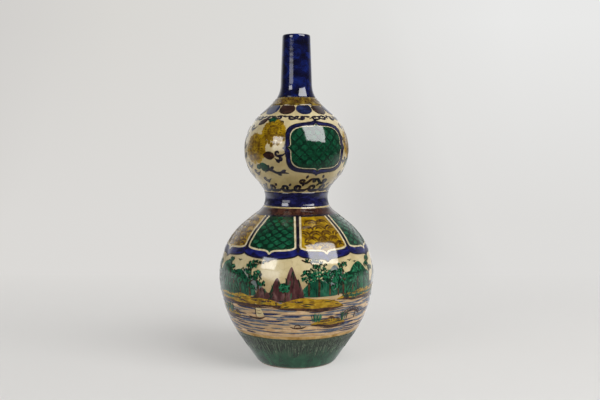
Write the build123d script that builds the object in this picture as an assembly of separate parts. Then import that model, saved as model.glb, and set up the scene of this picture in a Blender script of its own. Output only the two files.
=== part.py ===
from build123d import *
import os
from math import acos, asin, atan2, cos, hypot, radians, sin, tan

# A double gourd vase: five thrown clay sections luted together with slip, one glaze over the
# whole, and enamels painted on the glaze. Millimetres, +Z up. The foot stands on Z = 0, the axis
# of the vase is Z, and the front faces -Y. An angle is counted from the front, to the right.

# Outside of the glazed vase: the widths of its stations, and the height from each to the next
FOOT_DIAMETER = 90.5
LOWER_BOWL_HEIGHT = 102.0
BELLY_DIAMETER = 180.0
LOWER_SHOULDER_HEIGHT = 90.0
WAIST_DIAMETER = 72.4
UPPER_BOWL_HEIGHT = 55.0
BULB_DIAMETER = 121.0
UPPER_DOME_HEIGHT = 75.0
NECK_ROOT_DIAMETER = 36.2
NECK_LENGTH = 58.0
MOUTH_DIAMETER = 31.8

# Roundness of the curve between two stations: its arc's share in the largest arc that would fit
# there, or in an S-curve the shares of its wide and narrow arcs. What they leave is a straight run.
LOWER_BOWL_ROUNDNESS = 0.854
LOWER_SHOULDER_ROUNDNESS = (0.76, 0.195)
UPPER_BOWL_ROUNDNESS = (0.66, 0.32)
UPPER_DOME_ROUNDNESS = (0.64, 0.335)

# Clay, slip and glaze
WALL = 5.0
NECK_WALL = 3.7
FLOOR = 7.0
FLOOR_ROUND = 9.0
FOOT_RING_WIDTH = 7.0
FOOT_RECESS = 4.0
FOOT_BEVEL = 0.8
FOOT_BARE = 1.2
SLIP = 0.8
SEAM_BEVEL = 20.0
GLAZE = 0.4
ENAMEL_SEAT = 0.3
ENAMEL = 0.2

# Enamel bands, by their heights along the axis
NECK_BLUE_DROP = 14.2
COLLAR_HEIGHT = 9.5
PETAL_HEIGHT = 10.5
WAIST_BAND_ABOVE = 8.0
WAIST_BAND_BELOW = 8.5
CREAM_LINE = 1.3
AUBERGINE_BAND_HEIGHT = 8.5
PANEL_HEIGHT = 39.5
FOOT_BAND_HEIGHT = 40.5
OCHRE_LINE_HEIGHT = 3.5

# Petals under the collar
PETAL_COUNT = 12
PETAL_START = 14.0
PETAL_FULLNESS = 0.58
PETAL_GAP = 0.6

# Lobed medallions on the upper bulb
MEDALLION_COUNT = 2
MEDALLION_ANGLE = 24.5
MEDALLION_SPAN = 70.0
MEDALLION_TIP = 3.6
MEDALLION_BORDER = 3.3
MEDALLION_EASE = 0.18
SCROLL_ABOVE = 4.7
SCROLL_BELOW = 20.5

# Lobed panels on the shoulder of the lower bulb
PANEL_COUNT = 8
PANEL_ANGLE = -21.0
PANEL_BAR = 3.0
HEM_BORDER = 7.0
HEM_CUSP = 4.0
HEM_CORNER = 6.0
HEM_TIP = 3.0

# Flower sprays between the medallions: each flower's angle from the medallion's centre, its rise
# as a share of the medallion's half height, and the angle that it spans; each leaf's also its tilt
FLOWER_LOBES = 13
FLOWERS = [(-75.0, -0.05, 28.0), (-52.0, 0.57, 25.0), (54.0, 0.13, 26.0)]
GREEN_LEAVES = [(-57.5, 0.97, 11.0, 20.0), (-63.0, -0.69, 13.0, -25.0), (50.0, -0.54, 12.0, 35.0)]
AUBERGINE_LEAVES = [(-54.5, -0.3, 14.0, -10.0), (-71.0, 0.9, 14.0, 30.0), (66.0, 0.64, 13.0, -30.0)]
LEAF_SLIMNESS = 0.62

BELLY_HEIGHT = LOWER_BOWL_HEIGHT
WAIST_HEIGHT = BELLY_HEIGHT + LOWER_SHOULDER_HEIGHT
BULB_HEIGHT = WAIST_HEIGHT + UPPER_BOWL_HEIGHT
NECK_ROOT_HEIGHT = BULB_HEIGHT + UPPER_DOME_HEIGHT
HEIGHT = NECK_ROOT_HEIGHT + NECK_LENGTH
MOUTH_BORE = MOUTH_DIAMETER - 2 * NECK_WALL
LIP_ROUND = NECK_WALL / 2
LIP_RADIUS = MOUTH_DIAMETER / 2 - LIP_ROUND
LIP_HEIGHT = HEIGHT - ENAMEL - ENAMEL_SEAT - LIP_ROUND
FLOOR_HEIGHT = FOOT_RECESS + FLOOR
FAR = 2 * BELLY_DIAMETER
SAME_POINT = 1e-6
SECTION = Plane(origin=(0, 0, 0), x_dir=(0, 1, 0), z_dir=(1, 0, 0))


def arc_point(arc, turn, lift=0.0):
    """Point of an arc where the wall's outward normal rises by turn, moved out by lift."""
    centre, radius = arc[0], arc[1] + lift
    return (centre[0] + radius * cos(turn), centre[1] + radius * sin(turn))


def s_curve(wide, narrow, roundness, lean=0.0):
    """Two tangent arcs from a wide (radius, height) station to a narrow one above or below it.

    Each arc is (centre, radius, first normal, last normal). A hollow arc's radius is negative.
    The wall stands upright at the wide station and leans in by lean at the narrow one.
    """
    inward = wide[0] - narrow[0]
    side = 1 if narrow[1] > wide[1] else -1
    rise = abs(narrow[1] - wide[1])
    largest = (inward ** 2 + rise ** 2) / (2 * inward)
    full = roundness[0] * largest
    hollow = roundness[1] * largest
    full_centre = (wide[0] - full, wide[1])
    hollow_centre = (narrow[0] + hollow * cos(lean), narrow[1] + side * hollow * sin(lean))
    across = hollow_centre[0] - full_centre[0]
    up = side * (hollow_centre[1] - full_centre[1])
    turn = side * (atan2(up, across) - acos((full + hollow) / hypot(across, up)))
    arcs = [(full_centre, full, 0.0, turn), (hollow_centre, -hollow, turn, side * lean)]
    if side > 0:
        return arcs
    return [(centre, radius, last, first) for centre, radius, first, last in reversed(arcs)]


def bowl_arc(wide, narrow):
    """Arc that stands upright at a wide station, above a straight run from a narrow one below it."""
    inward = wide[0] - narrow[0]
    rise = wide[1] - narrow[1]
    radius = LOWER_BOWL_ROUNDNESS * (inward ** 2 + rise ** 2) / (2 * inward)
    across = radius - inward
    turn = acos(radius / hypot(across, rise)) - atan2(rise, across)
    return ((wide[0] - radius, wide[1]), radius, turn, 0.0)


def wall_arcs(at_foot, belly, waist, bulb, root, top):
    """Arcs of a wall to the neck, from where it leaves the foot and its radii at the stations."""
    taper = atan2(root - top, LIP_HEIGHT - NECK_ROOT_HEIGHT)
    at_belly = (belly, BELLY_HEIGHT)
    at_waist = (waist, WAIST_HEIGHT)
    at_bulb = (bulb, BULB_HEIGHT)
    at_root = (root, NECK_ROOT_HEIGHT)
    arcs = [bowl_arc(at_belly, at_foot)]
    arcs += s_curve(at_belly, at_waist, LOWER_SHOULDER_ROUNDNESS)
    arcs += s_curve(at_bulb, at_waist, UPPER_BOWL_ROUNDNESS)
    arcs += s_curve(at_bulb, at_root, UPPER_DOME_ROUNDNESS, taper)
    return arcs


def wall_edges(arcs, lift, top):
    """Edges of a wall from the table to the lip: arcs, and the straight runs that join them."""
    first = arc_point(arcs[0], arcs[0][2], lift)
    end = (first[0] + first[1] * tan(arcs[0][2]), 0.0)
    edges = []
    for arc in arcs:
        start = arc_point(arc, arc[2], lift)
        middle = arc_point(arc, (arc[2] + arc[3]) / 2, lift)
        finish = arc_point(arc, arc[3], lift)
        if hypot(start[0] - end[0], start[1] - end[1]) > SAME_POINT:
            edges.append(Line(end, start))
        edges.append(ThreePointArc(start, middle, finish))
        end = finish
    edges.append(Line(end, (top, LIP_HEIGHT)))
    return edges


def outside_arcs():
    """Arcs of the glazed outside."""
    diameters = [BELLY_DIAMETER, WAIST_DIAMETER, BULB_DIAMETER, NECK_ROOT_DIAMETER, MOUTH_DIAMETER]
    return wall_arcs((FOOT_DIAMETER / 2, 0.0), *[diameter / 2 for diameter in diameters])


def inside_arcs():
    """Arcs of the glazed inside, from a floor as wide as the foot up to the neck's bore."""
    radii = [diameter / 2 - WALL for diameter in (BELLY_DIAMETER, WAIST_DIAMETER, BULB_DIAMETER)]
    return wall_arcs((FOOT_DIAMETER / 2, FLOOR_HEIGHT), *radii, MOUTH_BORE / 2, MOUTH_BORE / 2)


def lip_arc(side, radius):
    """Quarter circle of the lip: side 1 is its outside, -1 its inside. It ends at the crest."""
    foot = (LIP_RADIUS + side * radius, LIP_HEIGHT)
    middle = (LIP_RADIUS + side * radius * cos(radians(45)), LIP_HEIGHT + radius * sin(radians(45)))
    crest = (LIP_RADIUS, LIP_HEIGHT + radius)
    return ThreePointArc(foot, middle, crest)


def block(left, right, low, high):
    """Rectangle of a half section, from its radii and heights."""
    return Pos((left + right) / 2, (low + high) / 2) * Rectangle(right - left, high - low)


def body_face(lift):
    """Half section of all that the outside encloses, moved out by lift."""
    edges = wall_edges(outside_arcs(), lift, MOUTH_DIAMETER / 2 + lift)
    crest = LIP_HEIGHT + LIP_ROUND + lift
    closing = Polyline((LIP_RADIUS, crest), (0, crest), (0, 0), edges[0] @ 0)
    return make_face(edges + [lip_arc(1, LIP_ROUND + lift), closing])


def cavity_face(grow):
    """Half section of the hollow, moved into the wall by grow, with its rounded floor."""
    edges = wall_edges(inside_arcs(), grow, MOUTH_BORE / 2 + grow)
    crest = LIP_HEIGHT + LIP_ROUND - grow
    above = HEIGHT + WALL
    closing = Polyline((LIP_RADIUS, crest), (LIP_RADIUS, above), (0, above), (0, 0), edges[0] @ 0)
    tube = make_face(edges + [lip_arc(-1, LIP_ROUND - grow), closing])
    hollow = tube & block(0, FAR, FLOOR_HEIGHT - grow, above)
    floor_corner = hollow.vertices().sort_by(Axis.Y)[:2].sort_by(Axis.X)[-1]
    return fillet(floor_corner, FLOOR_ROUND + grow)


def turned(face):
    """Solid turned on the wheel from a half section, with its seam at the back."""
    return revolve(SECTION * face, axis=Axis.Z)


def outside_at(height):
    """Radius of the glazed outside at a height, and how far its normal rises there."""
    below = None
    for arc in outside_arcs():
        start = arc_point(arc, arc[2])
        finish = arc_point(arc, arc[3])
        if below and below[1] <= height < start[1]:
            share = (height - below[1]) / (start[1] - below[1])
            return below[0] + share * (start[0] - below[0]), arc[2]
        if start[1] <= height <= finish[1]:
            turn = asin((height - arc[0][1]) / arc[1])
            return arc_point(arc, turn)[0], turn
        below = finish
    return below[0], arc[3]


def tangent_plane(height):
    """Plane that touches the front of the glaze at a height, with its Y up along the wall."""
    radius, turn = outside_at(height)
    return Plane(origin=(0, -radius, height), x_dir=(1, 0, 0), z_dir=(0, -cos(turn), sin(turn)))


def stamp(outline, height, depth):
    """Prism of a flat outline through the front wall, square to the wall at that height."""
    return extrude(tangent_plane(height) * outline, amount=depth, both=True)


def around(piece, count, first=0.0):
    """Copies of a front piece at even angles around the axis."""
    return [Rot(Z=first + index * 360 / count) * piece for index in range(count)]


def export(name, pieces):
    """Write one node: a solid, or a group of like solids."""
    solids = [solid for piece in pieces for solid in piece.solids()]
    shape = solids[0] if len(solids) == 1 else Compound(solids)
    export_step(shape, os.path.join("parts", name + ".step"))


os.makedirs("parts", exist_ok=True)

# Thrown clay, cut at the bevelled seams where the wall stands upright
whole_clay = body_face(-GLAZE) - cavity_face(GLAZE)
ring_inside = FOOT_DIAMETER / 2 - FOOT_RING_WIDTH
ring_outside = FOOT_DIAMETER / 2 - GLAZE
clay = whole_clay - block(0, ring_inside, 0, FOOT_RECESS)
for edge, side in ((ring_inside, 1), (ring_outside, -1)):
    bevel = Polyline((edge, 0), (edge + side * FOOT_BEVEL, 0), (edge, FOOT_BEVEL), close=True)
    clay -= make_face(bevel)


def slip_strip(height, radius):
    """Slanting strip of a half section that a seam's slip fills, about the middle of the wall."""
    reach = 2 * WALL
    drop = reach * tan(radians(SEAM_BEVEL))
    low_left = (radius - reach, height - drop - SLIP / 2)
    low_right = (radius + reach, height + drop - SLIP / 2)
    high_right = (radius + reach, height + drop + SLIP / 2)
    high_left = (radius - reach, height - drop + SLIP / 2)
    return make_face(Polyline(low_left, low_right, high_right, high_left, close=True))


seams = {
    "belly_slip_seam": slip_strip(BELLY_HEIGHT, (BELLY_DIAMETER - WALL) / 2),
    "waist_slip_seam": slip_strip(WAIST_HEIGHT, (WAIST_DIAMETER - WALL) / 2),
    "upper_bulb_slip_seam": slip_strip(BULB_HEIGHT, (BULB_DIAMETER - WALL) / 2),
    "neck_slip_seam": slip_strip(NECK_ROOT_HEIGHT, (NECK_ROOT_DIAMETER + MOUTH_BORE) / 4),
}
sections = clay
for name, strip in seams.items():
    sections -= strip
    export(name, [turned(clay & strip)])
section_names = ["lower_bulb_bowl", "lower_bulb_shoulder", "upper_bulb_bowl", "upper_bulb_dome"]
section_names += ["neck_tube"]
for name, face in zip(section_names, sections.faces().sort_by(Axis.Y)):
    export(name, [turned(face)])

# Glaze: one skin outside, over the lip and inside, and a pool in the foot's recess
skin = body_face(0) - cavity_face(0) - whole_clay
export("glaze_coat", [turned(skin & block(0, FAR, FOOT_BARE, HEIGHT))])
export("base_glaze", [turned(block(0, ring_inside, FOOT_RECESS - GLAZE, FOOT_RECESS))])

# Enamel over the glaze, in rings
coat = body_face(ENAMEL_SEAT + ENAMEL) - body_face(ENAMEL_SEAT)


def ring(low, high):
    """Ring of enamel on the outside, between two heights."""
    return turned(coat & block(LIP_RADIUS, FAR, low, high))


collar_high = NECK_ROOT_HEIGHT - NECK_BLUE_DROP
collar_low = collar_high - COLLAR_HEIGHT
petal_low = collar_low - PETAL_HEIGHT
waist_high = WAIST_HEIGHT + WAIST_BAND_ABOVE
waist_low = WAIST_HEIGHT - WAIST_BAND_BELOW
aubergine_high = waist_low - CREAM_LINE
aubergine_low = aubergine_high - AUBERGINE_BAND_HEIGHT
hem = aubergine_low - PANEL_HEIGHT
export("neck_blue_enamel", [ring(collar_high, HEIGHT)])
export("collar_yellow_enamel", [ring(collar_low, collar_high)])
export("waist_blue_enamel", [ring(waist_low, waist_high)])
export("shoulder_aubergine_band", [ring(aubergine_low, aubergine_high)])
export("foot_ochre_line", [ring(FOOT_BAND_HEIGHT, FOOT_BAND_HEIGHT + OCHRE_LINE_HEIGHT)])
export("foot_green_enamel", [ring(FOOT_BARE, FOOT_BAND_HEIGHT)])

# Petals: ovals that hang from the collar, aubergine and blue in turn
petal_middle = petal_low + PETAL_FULLNESS * PETAL_HEIGHT
petal_radius, petal_turn = outside_at(petal_middle)
petal_half_width = petal_radius * sin(radians(180 / PETAL_COUNT)) - PETAL_GAP / 2
petal_half_height = PETAL_FULLNESS * PETAL_HEIGHT / cos(petal_turn)
petal_shape = Ellipse(petal_half_width, petal_half_height)
petal = ring(petal_low - PETAL_HEIGHT, collar_low) & stamp(petal_shape, petal_middle, PETAL_HEIGHT)
petals = around(petal, PETAL_COUNT, PETAL_START)
export("petals_blue_enamel", petals[0::2])
export("petals_aubergine_enamel", petals[1::2])

# Medallions: a lobed blue border with a pointed lobe in each side, round a green field
medallion_high = petal_low - SCROLL_ABOVE
medallion_low = waist_high + SCROLL_BELOW
medallion_middle = (medallion_high + medallion_low) / 2
medallion_reach = (medallion_high - medallion_low) / 2
medallion_half_height = medallion_reach - MEDALLION_TIP
medallion_half_width = outside_at(medallion_middle)[0] * sin(radians(MEDALLION_SPAN / 2))


def lobed_square(half_width, half_height):
    """Rounded square whose four sides each swell to a point in the middle."""
    top = (0, half_height + MEDALLION_TIP)
    beside_top = (2 * MEDALLION_TIP, half_height)
    beside_side = (half_width, 2 * MEDALLION_TIP)
    side = (half_width + MEDALLION_TIP, 0)
    to_corner = ((1 - MEDALLION_EASE) * half_width, half_height)
    from_corner = (half_width, (1 - MEDALLION_EASE) * half_height)
    quarter = [
        Bezier(top, (MEDALLION_TIP / 2, half_height), (MEDALLION_TIP, half_height), beside_top),
        Bezier(beside_top, to_corner, from_corner, beside_side),
        Bezier(beside_side, (half_width, MEDALLION_TIP), (half_width, MEDALLION_TIP / 2), side),
    ]
    half = quarter + [edge.mirror(Plane.XZ) for edge in quarter]
    return make_face(half + [edge.mirror(Plane.YZ) for edge in half])


def medallion_stamp(inset):
    """Prism of the medallion's outline, drawn in by inset."""
    outline = lobed_square(medallion_half_width - inset, medallion_half_height - inset)
    return stamp(outline, medallion_middle, medallion_half_width)


upper_bulb_coat = ring(waist_high, collar_low)
medallion = medallion_stamp(0)
frame = (upper_bulb_coat & medallion) - medallion_stamp(MEDALLION_BORDER)
field = upper_bulb_coat & medallion_stamp(MEDALLION_BORDER + CREAM_LINE)
export("medallion_frames_blue", around(frame, MEDALLION_COUNT, MEDALLION_ANGLE))
export("medallion_fields_green", around(field, MEDALLION_COUNT, MEDALLION_ANGLE))


# Flower sprays: ruffled flowers and pointed leaves, which pass behind the medallions' borders
def ruffled_flower(radius):
    """Disc with a ring of round lobes along its rim."""
    lobe = radius * sin(radians(180 / FLOWER_LOBES))
    rim = radius - lobe
    lobes = [location * Circle(lobe) for location in PolarLocations(rim, FLOWER_LOBES).local_locations]
    return Circle(rim) + lobes


def pointed_leaf(length):
    """Leaf between two arcs that meet in a point at each end."""
    half = length / 2
    belly = half * LEAF_SLIMNESS
    upper = ThreePointArc((-half, 0), (0, belly), (half, 0))
    lower = ThreePointArc((-half, 0), (0, -belly), (half, 0))
    return make_face([upper, lower])


def spray_piece(outline, angle, rise):
    """Enamel of one flower or leaf at an angle and rise from the medallion's centre."""
    height = medallion_middle + rise * medallion_reach
    return Rot(Z=angle) * (upper_bulb_coat & stamp(outline, height, WALL))


def chord(angle_span, rise):
    """Width across the wall of an angle at a rise from the medallion's centre."""
    radius = outside_at(medallion_middle + rise * medallion_reach)[0]
    return 2 * radius * sin(radians(angle_span / 2))


def behind(pieces, covers):
    """Pieces less what the covers over them hide, then set round the vase."""
    shown = [piece - covers for piece in pieces]
    return [copy for piece in shown for copy in around(piece, MEDALLION_COUNT, MEDALLION_ANGLE)]


borders = [medallion, Rot(Z=-360 / MEDALLION_COUNT) * medallion]
flowers = [
    spray_piece(ruffled_flower(chord(span, rise) / 2), angle, rise)
    for angle, rise, span in FLOWERS
]
green_leaves = [
    spray_piece(Rot(Z=tilt) * pointed_leaf(chord(span, rise)), angle, rise)
    for angle, rise, span, tilt in GREEN_LEAVES
]
aubergine_leaves = [
    spray_piece(Rot(Z=tilt) * pointed_leaf(chord(span, rise)), angle, rise)
    for angle, rise, span, tilt in AUBERGINE_LEAVES
]
export("flowers_yellow_enamel", behind(flowers, borders))
export("leaves_green_enamel", behind(green_leaves, borders + flowers))
export("leaves_aubergine_enamel", behind(aubergine_leaves, borders + flowers))

# Shoulder: lobed panels, green and yellow in turn, in a blue frame of bars and a lobed hem
shoulder_coat = ring(hem - 2 * HEM_TIP, aubergine_low)
sector = 180 / PANEL_COUNT
panel_half_width = outside_at(hem)[0] * tan(radians(sector))


def sector_prism(margin):
    """Upright wedge of one panel's sector, with its sides drawn in by margin."""
    apex = margin / sin(radians(sector))
    side = FAR * tan(radians(sector))
    wedge = Polyline((0, -apex), (side, -apex - FAR), (-side, -apex - FAR), close=True)
    return extrude(make_face(wedge), amount=HEIGHT)


def above_hem(rise, corner):
    """Prism above one panel's lobed lower edge, at a rise from the hem, with its corners lifted."""
    low = hem + rise
    beside_tip = (2 * HEM_TIP, low)
    lobe = Bezier(
        (panel_half_width, low + corner),
        (panel_half_width - corner / 2, low),
        (panel_half_width / 2, low),
        beside_tip,
    )
    point = Bezier(beside_tip, (HEM_TIP, low), (HEM_TIP / 2, low), (0, low - HEM_TIP))
    sides = Polyline(
        (panel_half_width, low + corner),
        (panel_half_width, HEIGHT),
        (-panel_half_width, HEIGHT),
        (-panel_half_width, low + corner),
    )
    outline = make_face([lobe, point, lobe.mirror(Plane.YZ), point.mirror(Plane.YZ), sides])
    return extrude(Plane.XZ * outline, amount=FAR)


panel_opening = above_hem(HEM_BORDER, HEM_CORNER) & sector_prism(PANEL_BAR / 2)
panel_shape = above_hem(HEM_BORDER + CREAM_LINE, HEM_CORNER) & sector_prism(PANEL_BAR / 2 + CREAM_LINE)
below_hem = sector_prism(0) - above_hem(0, HEM_CUSP)
bracket_frame = shoulder_coat - around(below_hem, PANEL_COUNT, PANEL_ANGLE)
bracket_frame -= around(panel_opening, PANEL_COUNT, PANEL_ANGLE)
panels = around(shoulder_coat & panel_shape, PANEL_COUNT, PANEL_ANGLE)
export("shoulder_frame_blue", [bracket_frame])
export("shoulder_panels_green", panels[0::2])
export("shoulder_panels_yellow", panels[1::2])
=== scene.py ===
import math
import random

import bmesh
import bpy
import numpy as np
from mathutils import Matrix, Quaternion, Vector
from mathutils.bvhtree import BVHTree
from mathutils.geometry import delaunay_2d_cdt


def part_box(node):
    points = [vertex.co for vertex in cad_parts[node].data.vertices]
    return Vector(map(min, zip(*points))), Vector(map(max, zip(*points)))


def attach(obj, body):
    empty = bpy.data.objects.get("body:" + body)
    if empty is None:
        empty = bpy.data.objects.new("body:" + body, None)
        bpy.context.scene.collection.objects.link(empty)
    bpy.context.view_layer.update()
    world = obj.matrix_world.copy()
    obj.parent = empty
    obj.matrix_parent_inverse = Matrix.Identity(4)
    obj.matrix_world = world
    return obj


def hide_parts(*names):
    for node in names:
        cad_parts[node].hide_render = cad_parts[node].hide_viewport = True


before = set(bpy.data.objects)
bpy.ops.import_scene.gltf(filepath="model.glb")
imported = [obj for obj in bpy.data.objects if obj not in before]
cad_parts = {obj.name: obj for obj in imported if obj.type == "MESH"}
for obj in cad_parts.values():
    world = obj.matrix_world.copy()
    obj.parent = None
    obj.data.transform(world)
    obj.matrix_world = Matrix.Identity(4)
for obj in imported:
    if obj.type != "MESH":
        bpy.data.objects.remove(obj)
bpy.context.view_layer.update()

# Clay body: five thrown sections of pale stoneware, and the slip that joins them. The glaze hides
# all of it but the foot ring, which is wiped bare before the firing and shows its sandy grain.
MM = 0.001
MIX_SHARE, MIX_FIRST, MIX_SECOND, MIX_COLOUR = 0, 6, 7, 2
CLAY_SECTIONS = [
    "lower_bulb_bowl", "lower_bulb_shoulder", "upper_bulb_bowl", "upper_bulb_dome", "neck_tube",
]
SLIP_SEAMS = ["belly_slip_seam", "waist_slip_seam", "upper_bulb_slip_seam", "neck_slip_seam"]


def paint(red, green, blue):
    """Linear colour of a paint given in screen values from 0 to 255."""
    shares = [value / 255 for value in (red, green, blue)]
    return tuple(s / 12.92 if s < 0.04045 else ((s + 0.055) / 1.055) ** 2.4 for s in shares) + (1.0,)


class Finish:
    """A node material on Object coordinates, with small calls for the nodes that a finish needs."""

    def __init__(self, name, roughness, gloss=1.5):
        self.material = bpy.data.materials.new(name)
        self.material.use_nodes = True
        self.tree = self.material.node_tree
        self.surface = self.tree.nodes["Principled BSDF"]
        self.surface.inputs["Roughness"].default_value = roughness
        self.surface.inputs["IOR"].default_value = gloss
        self.place = self.tree.nodes.new("ShaderNodeTexCoord").outputs["Object"]

    def link(self, output, socket):
        """Join an output to a socket."""
        self.tree.links.new(output, socket)

    def stretched(self, size, stretch):
        """Object coordinates in units of size metres, stretched along each axis."""
        mapping = self.tree.nodes.new("ShaderNodeMapping")
        self.link(self.place, mapping.inputs["Vector"])
        mapping.inputs["Scale"].default_value = [share / size for share in stretch]
        return mapping.outputs["Vector"]

    def noise(self, size, detail=4.0, stretch=(1, 1, 1), swirl=0.0):
        """Cloudy value whose patches are about size metres wide."""
        node = self.tree.nodes.new("ShaderNodeTexNoise")
        self.link(self.stretched(size, stretch), node.inputs["Vector"])
        node.inputs["Scale"].default_value = 1.0
        node.inputs["Detail"].default_value = detail
        node.inputs["Distortion"].default_value = swirl
        return node.outputs["Fac"]

    def cells(self, size, feature):
        """Distance value of cells about size metres wide."""
        node = self.tree.nodes.new("ShaderNodeTexVoronoi")
        node.feature = feature
        self.link(self.stretched(size, (1, 1, 1)), node.inputs["Vector"])
        node.inputs["Scale"].default_value = 1.0
        return node.outputs["Distance"]

    def along(self, axis):
        """Place along an axis, in metres."""
        node = self.tree.nodes.new("ShaderNodeSeparateXYZ")
        self.link(self.place, node.inputs["Vector"])
        return node.outputs[axis]

    def ramp(self, value, stops):
        """Colour of a value, from (position, colour) stops."""
        node = self.tree.nodes.new("ShaderNodeValToRGB")
        self.link(value, node.inputs["Fac"])
        while len(node.color_ramp.elements) < len(stops):
            node.color_ramp.elements.new(0.5)
        for element, (position, colour) in zip(node.color_ramp.elements, stops):
            element.position = position
            element.color = colour
        return node.outputs["Color"]

    def spread(self, value, low, high, to_low, to_high):
        """A value moved from one range to another."""
        node = self.tree.nodes.new("ShaderNodeMapRange")
        self.link(value, node.inputs["Value"])
        limits = {"From Min": low, "From Max": high, "To Min": to_low, "To Max": to_high}
        for socket, limit in limits.items():
            node.inputs[socket].default_value = limit
        return node.outputs["Result"]

    def mixed(self, share, first, second):
        """Blend of a colour output with another output or a plain colour, by a share."""
        node = self.tree.nodes.new("ShaderNodeMix")
        node.data_type = "RGBA"
        self.link(share, node.inputs[MIX_SHARE])
        self.link(first, node.inputs[MIX_FIRST])
        if isinstance(second, tuple):
            node.inputs[MIX_SECOND].default_value = second
        else:
            self.link(second, node.inputs[MIX_SECOND])
        return node.outputs[MIX_COLOUR]

    def relief(self, value, depth):
        """Bump of a value, depth metres high."""
        node = self.tree.nodes.new("ShaderNodeBump")
        node.inputs["Strength"].default_value = 1.0
        node.inputs["Distance"].default_value = depth
        self.link(value, node.inputs["Height"])
        self.link(node.outputs["Normal"], self.surface.inputs["Normal"])

    def coloured(self, colour):
        """Give the surface its colour, and hand over the finished material."""
        self.link(colour, self.surface.inputs["Base Color"])
        return self.material


def stoneware(name, dark, pale):
    """Bare fired clay with grains of sand."""
    finish = Finish(name, 0.8)
    grain = finish.noise(1.2 * MM, 6.0)
    finish.relief(grain, 0.1 * MM)
    return finish.coloured(finish.ramp(grain, [(0.35, dark), (0.65, pale)]))


clay = stoneware("bare_stoneware", paint(148, 128, 102), paint(186, 166, 136))
slip = stoneware("joining_slip", paint(140, 120, 96), paint(170, 150, 122))
for names, material in ((CLAY_SECTIONS, clay), (SLIP_SEAMS, slip)):
    for name in names:
        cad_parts[name].data.materials.clear()
        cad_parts[name].data.materials.append(material)

# Glaze: one skin of glossy buff glaze outside, over the lip and inside, on a wall thrown by hand,
# so it carries faint rings from the fingers. Fine crackle, specks of iron and warmer pools stain it.
SEGMENTS = 200
GLAZE_ROWS = 330
INSIDE_ROWS = 50
SAME_POINT = 1e-6
STEP_OFF = 0.02 * MM
LIP_DEPTH = 1 * MM
GLAZE_GLOSS = 1.62
RING_HEIGHT = 6.5 * MM
RING_DEPTH = 0.02 * MM
OVAL_DEPTH = 0.16 * MM
NECK_FROM, NECK_TO = 300 * MM, 325 * MM
# Heights of the tan band round the waist, which is partly painted shade.
SHADED_TAN_FROM, SHADED_TAN_TO = 150 * MM, 262 * MM
POOL_FROM, POOL_TO = 118 * MM, 80 * MM
CRACKLE_SIZE = 7 * MM
SPECK_SIZE = 6 * MM
INSIDE_STARTS = 2 * MM
HIDDEN_STEP = 4 * MM


def search_tree(mesh):
    """Tree that finds the nearest point of a mesh, or where a ray meets it."""
    return BVHTree.FromPolygons([v.co for v in mesh.vertices], [p.vertices for p in mesh.polygons])


glaze_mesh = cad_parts["glaze_coat"].data
glaze_tree = search_tree(glaze_mesh)
back_seam = sorted({
    (round(v.co.z, 7), round(v.co.y, 7))
    for v in glaze_mesh.vertices if abs(v.co.x) < SAME_POINT and v.co.y > 0
})
outer_points = [
    (radius, height) for height, radius in back_seam
    if glaze_tree.ray_cast(Vector((0, radius + STEP_OFF, height)), Vector((0, 1, 0)))[0] is None
]
glaze_foot = outer_points[0][1]
crest_height = outer_points[-1][1]


def flow(points, count):
    """Smooth curve through points, as count points at even steps of its length."""
    points = np.asarray(points, float)
    knots = np.concatenate([[0], np.cumsum(np.linalg.norm(np.diff(points, axis=0), axis=1))])
    slopes = np.gradient(points, knots, axis=0)
    where = np.linspace(0, knots[-1], count)
    span = np.clip(np.searchsorted(knots, where, side="right") - 1, 0, len(knots) - 2)
    width = (knots[span + 1] - knots[span])[:, None]
    t = (where - knots[span])[:, None] / width
    start, end = points[span], points[span + 1]
    leave, arrive = slopes[span] * width, slopes[span + 1] * width
    return (
        (2 * t ** 3 - 3 * t ** 2 + 1) * start + (t ** 3 - 2 * t ** 2 + t) * leave
        + (3 * t ** 2 - 2 * t ** 3) * end + (t ** 3 - t ** 2) * arrive
    )


outside = flow([point for point in outer_points if point[1] < crest_height - LIP_DEPTH], 4 * GLAZE_ROWS)
wall_radii = np.ascontiguousarray(outside[:, 0])
wall_heights = np.ascontiguousarray(outside[:, 1])


def radius_at(height):
    """Outside radius of the glaze, before the thrower's rings."""
    return np.interp(height, wall_heights, wall_radii)


def thrown(angle, height):
    """How far the thrown wall stands out from a true round: faint rings and a slight oval."""
    rings = np.sin(2 * np.pi * height / RING_HEIGHT + 1.3 * np.sin(angle + 40 * height))
    oval = np.sin(2 * angle + 30 * height) + 0.5 * np.sin(3 * angle - 55 * height)
    calm = np.interp(height, (NECK_FROM, NECK_TO), (1.0, 0.3))
    return calm * (RING_DEPTH * rings + OVAL_DEPTH * oval)


def wall_stretch(height):
    """Length along the wall for a unit of height."""
    step = 0.5 * MM
    slope = (radius_at(height + step) - radius_at(height - step)) / (2 * step)
    return np.sqrt(1 + slope ** 2)


def wall_normal(angle, height):
    """Outward normal of the thrown wall."""
    step, turn = 0.4 * MM, 0.01
    radius = radius_at(height)
    upward = (radius_at(height + step) - radius_at(height - step)) / (2 * step)
    upward = upward + (thrown(angle, height + step) - thrown(angle, height - step)) / (2 * step)
    sideways = (thrown(angle + turn, height) - thrown(angle - turn, height)) / (2 * turn * radius)
    x = np.sin(angle) - sideways * np.cos(angle)
    y = -np.cos(angle) - sideways * np.sin(angle)
    normal = np.stack([x, y, -upward * np.ones_like(x)], -1)
    return normal / np.linalg.norm(normal, axis=-1, keepdims=True)


def on_wall(angle, height, lift=0.0):
    """Points of the wall at angles from the front, to the right, and heights, lifted off the glaze."""
    angle, height, lift = np.broadcast_arrays(*(np.asarray(x, float) for x in (angle, height, lift)))
    radius = radius_at(height) + thrown(angle, height)
    foot = np.stack([radius * np.sin(angle), -radius * np.cos(angle), height], -1)
    return foot + wall_normal(angle, height) * lift[..., None]


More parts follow.
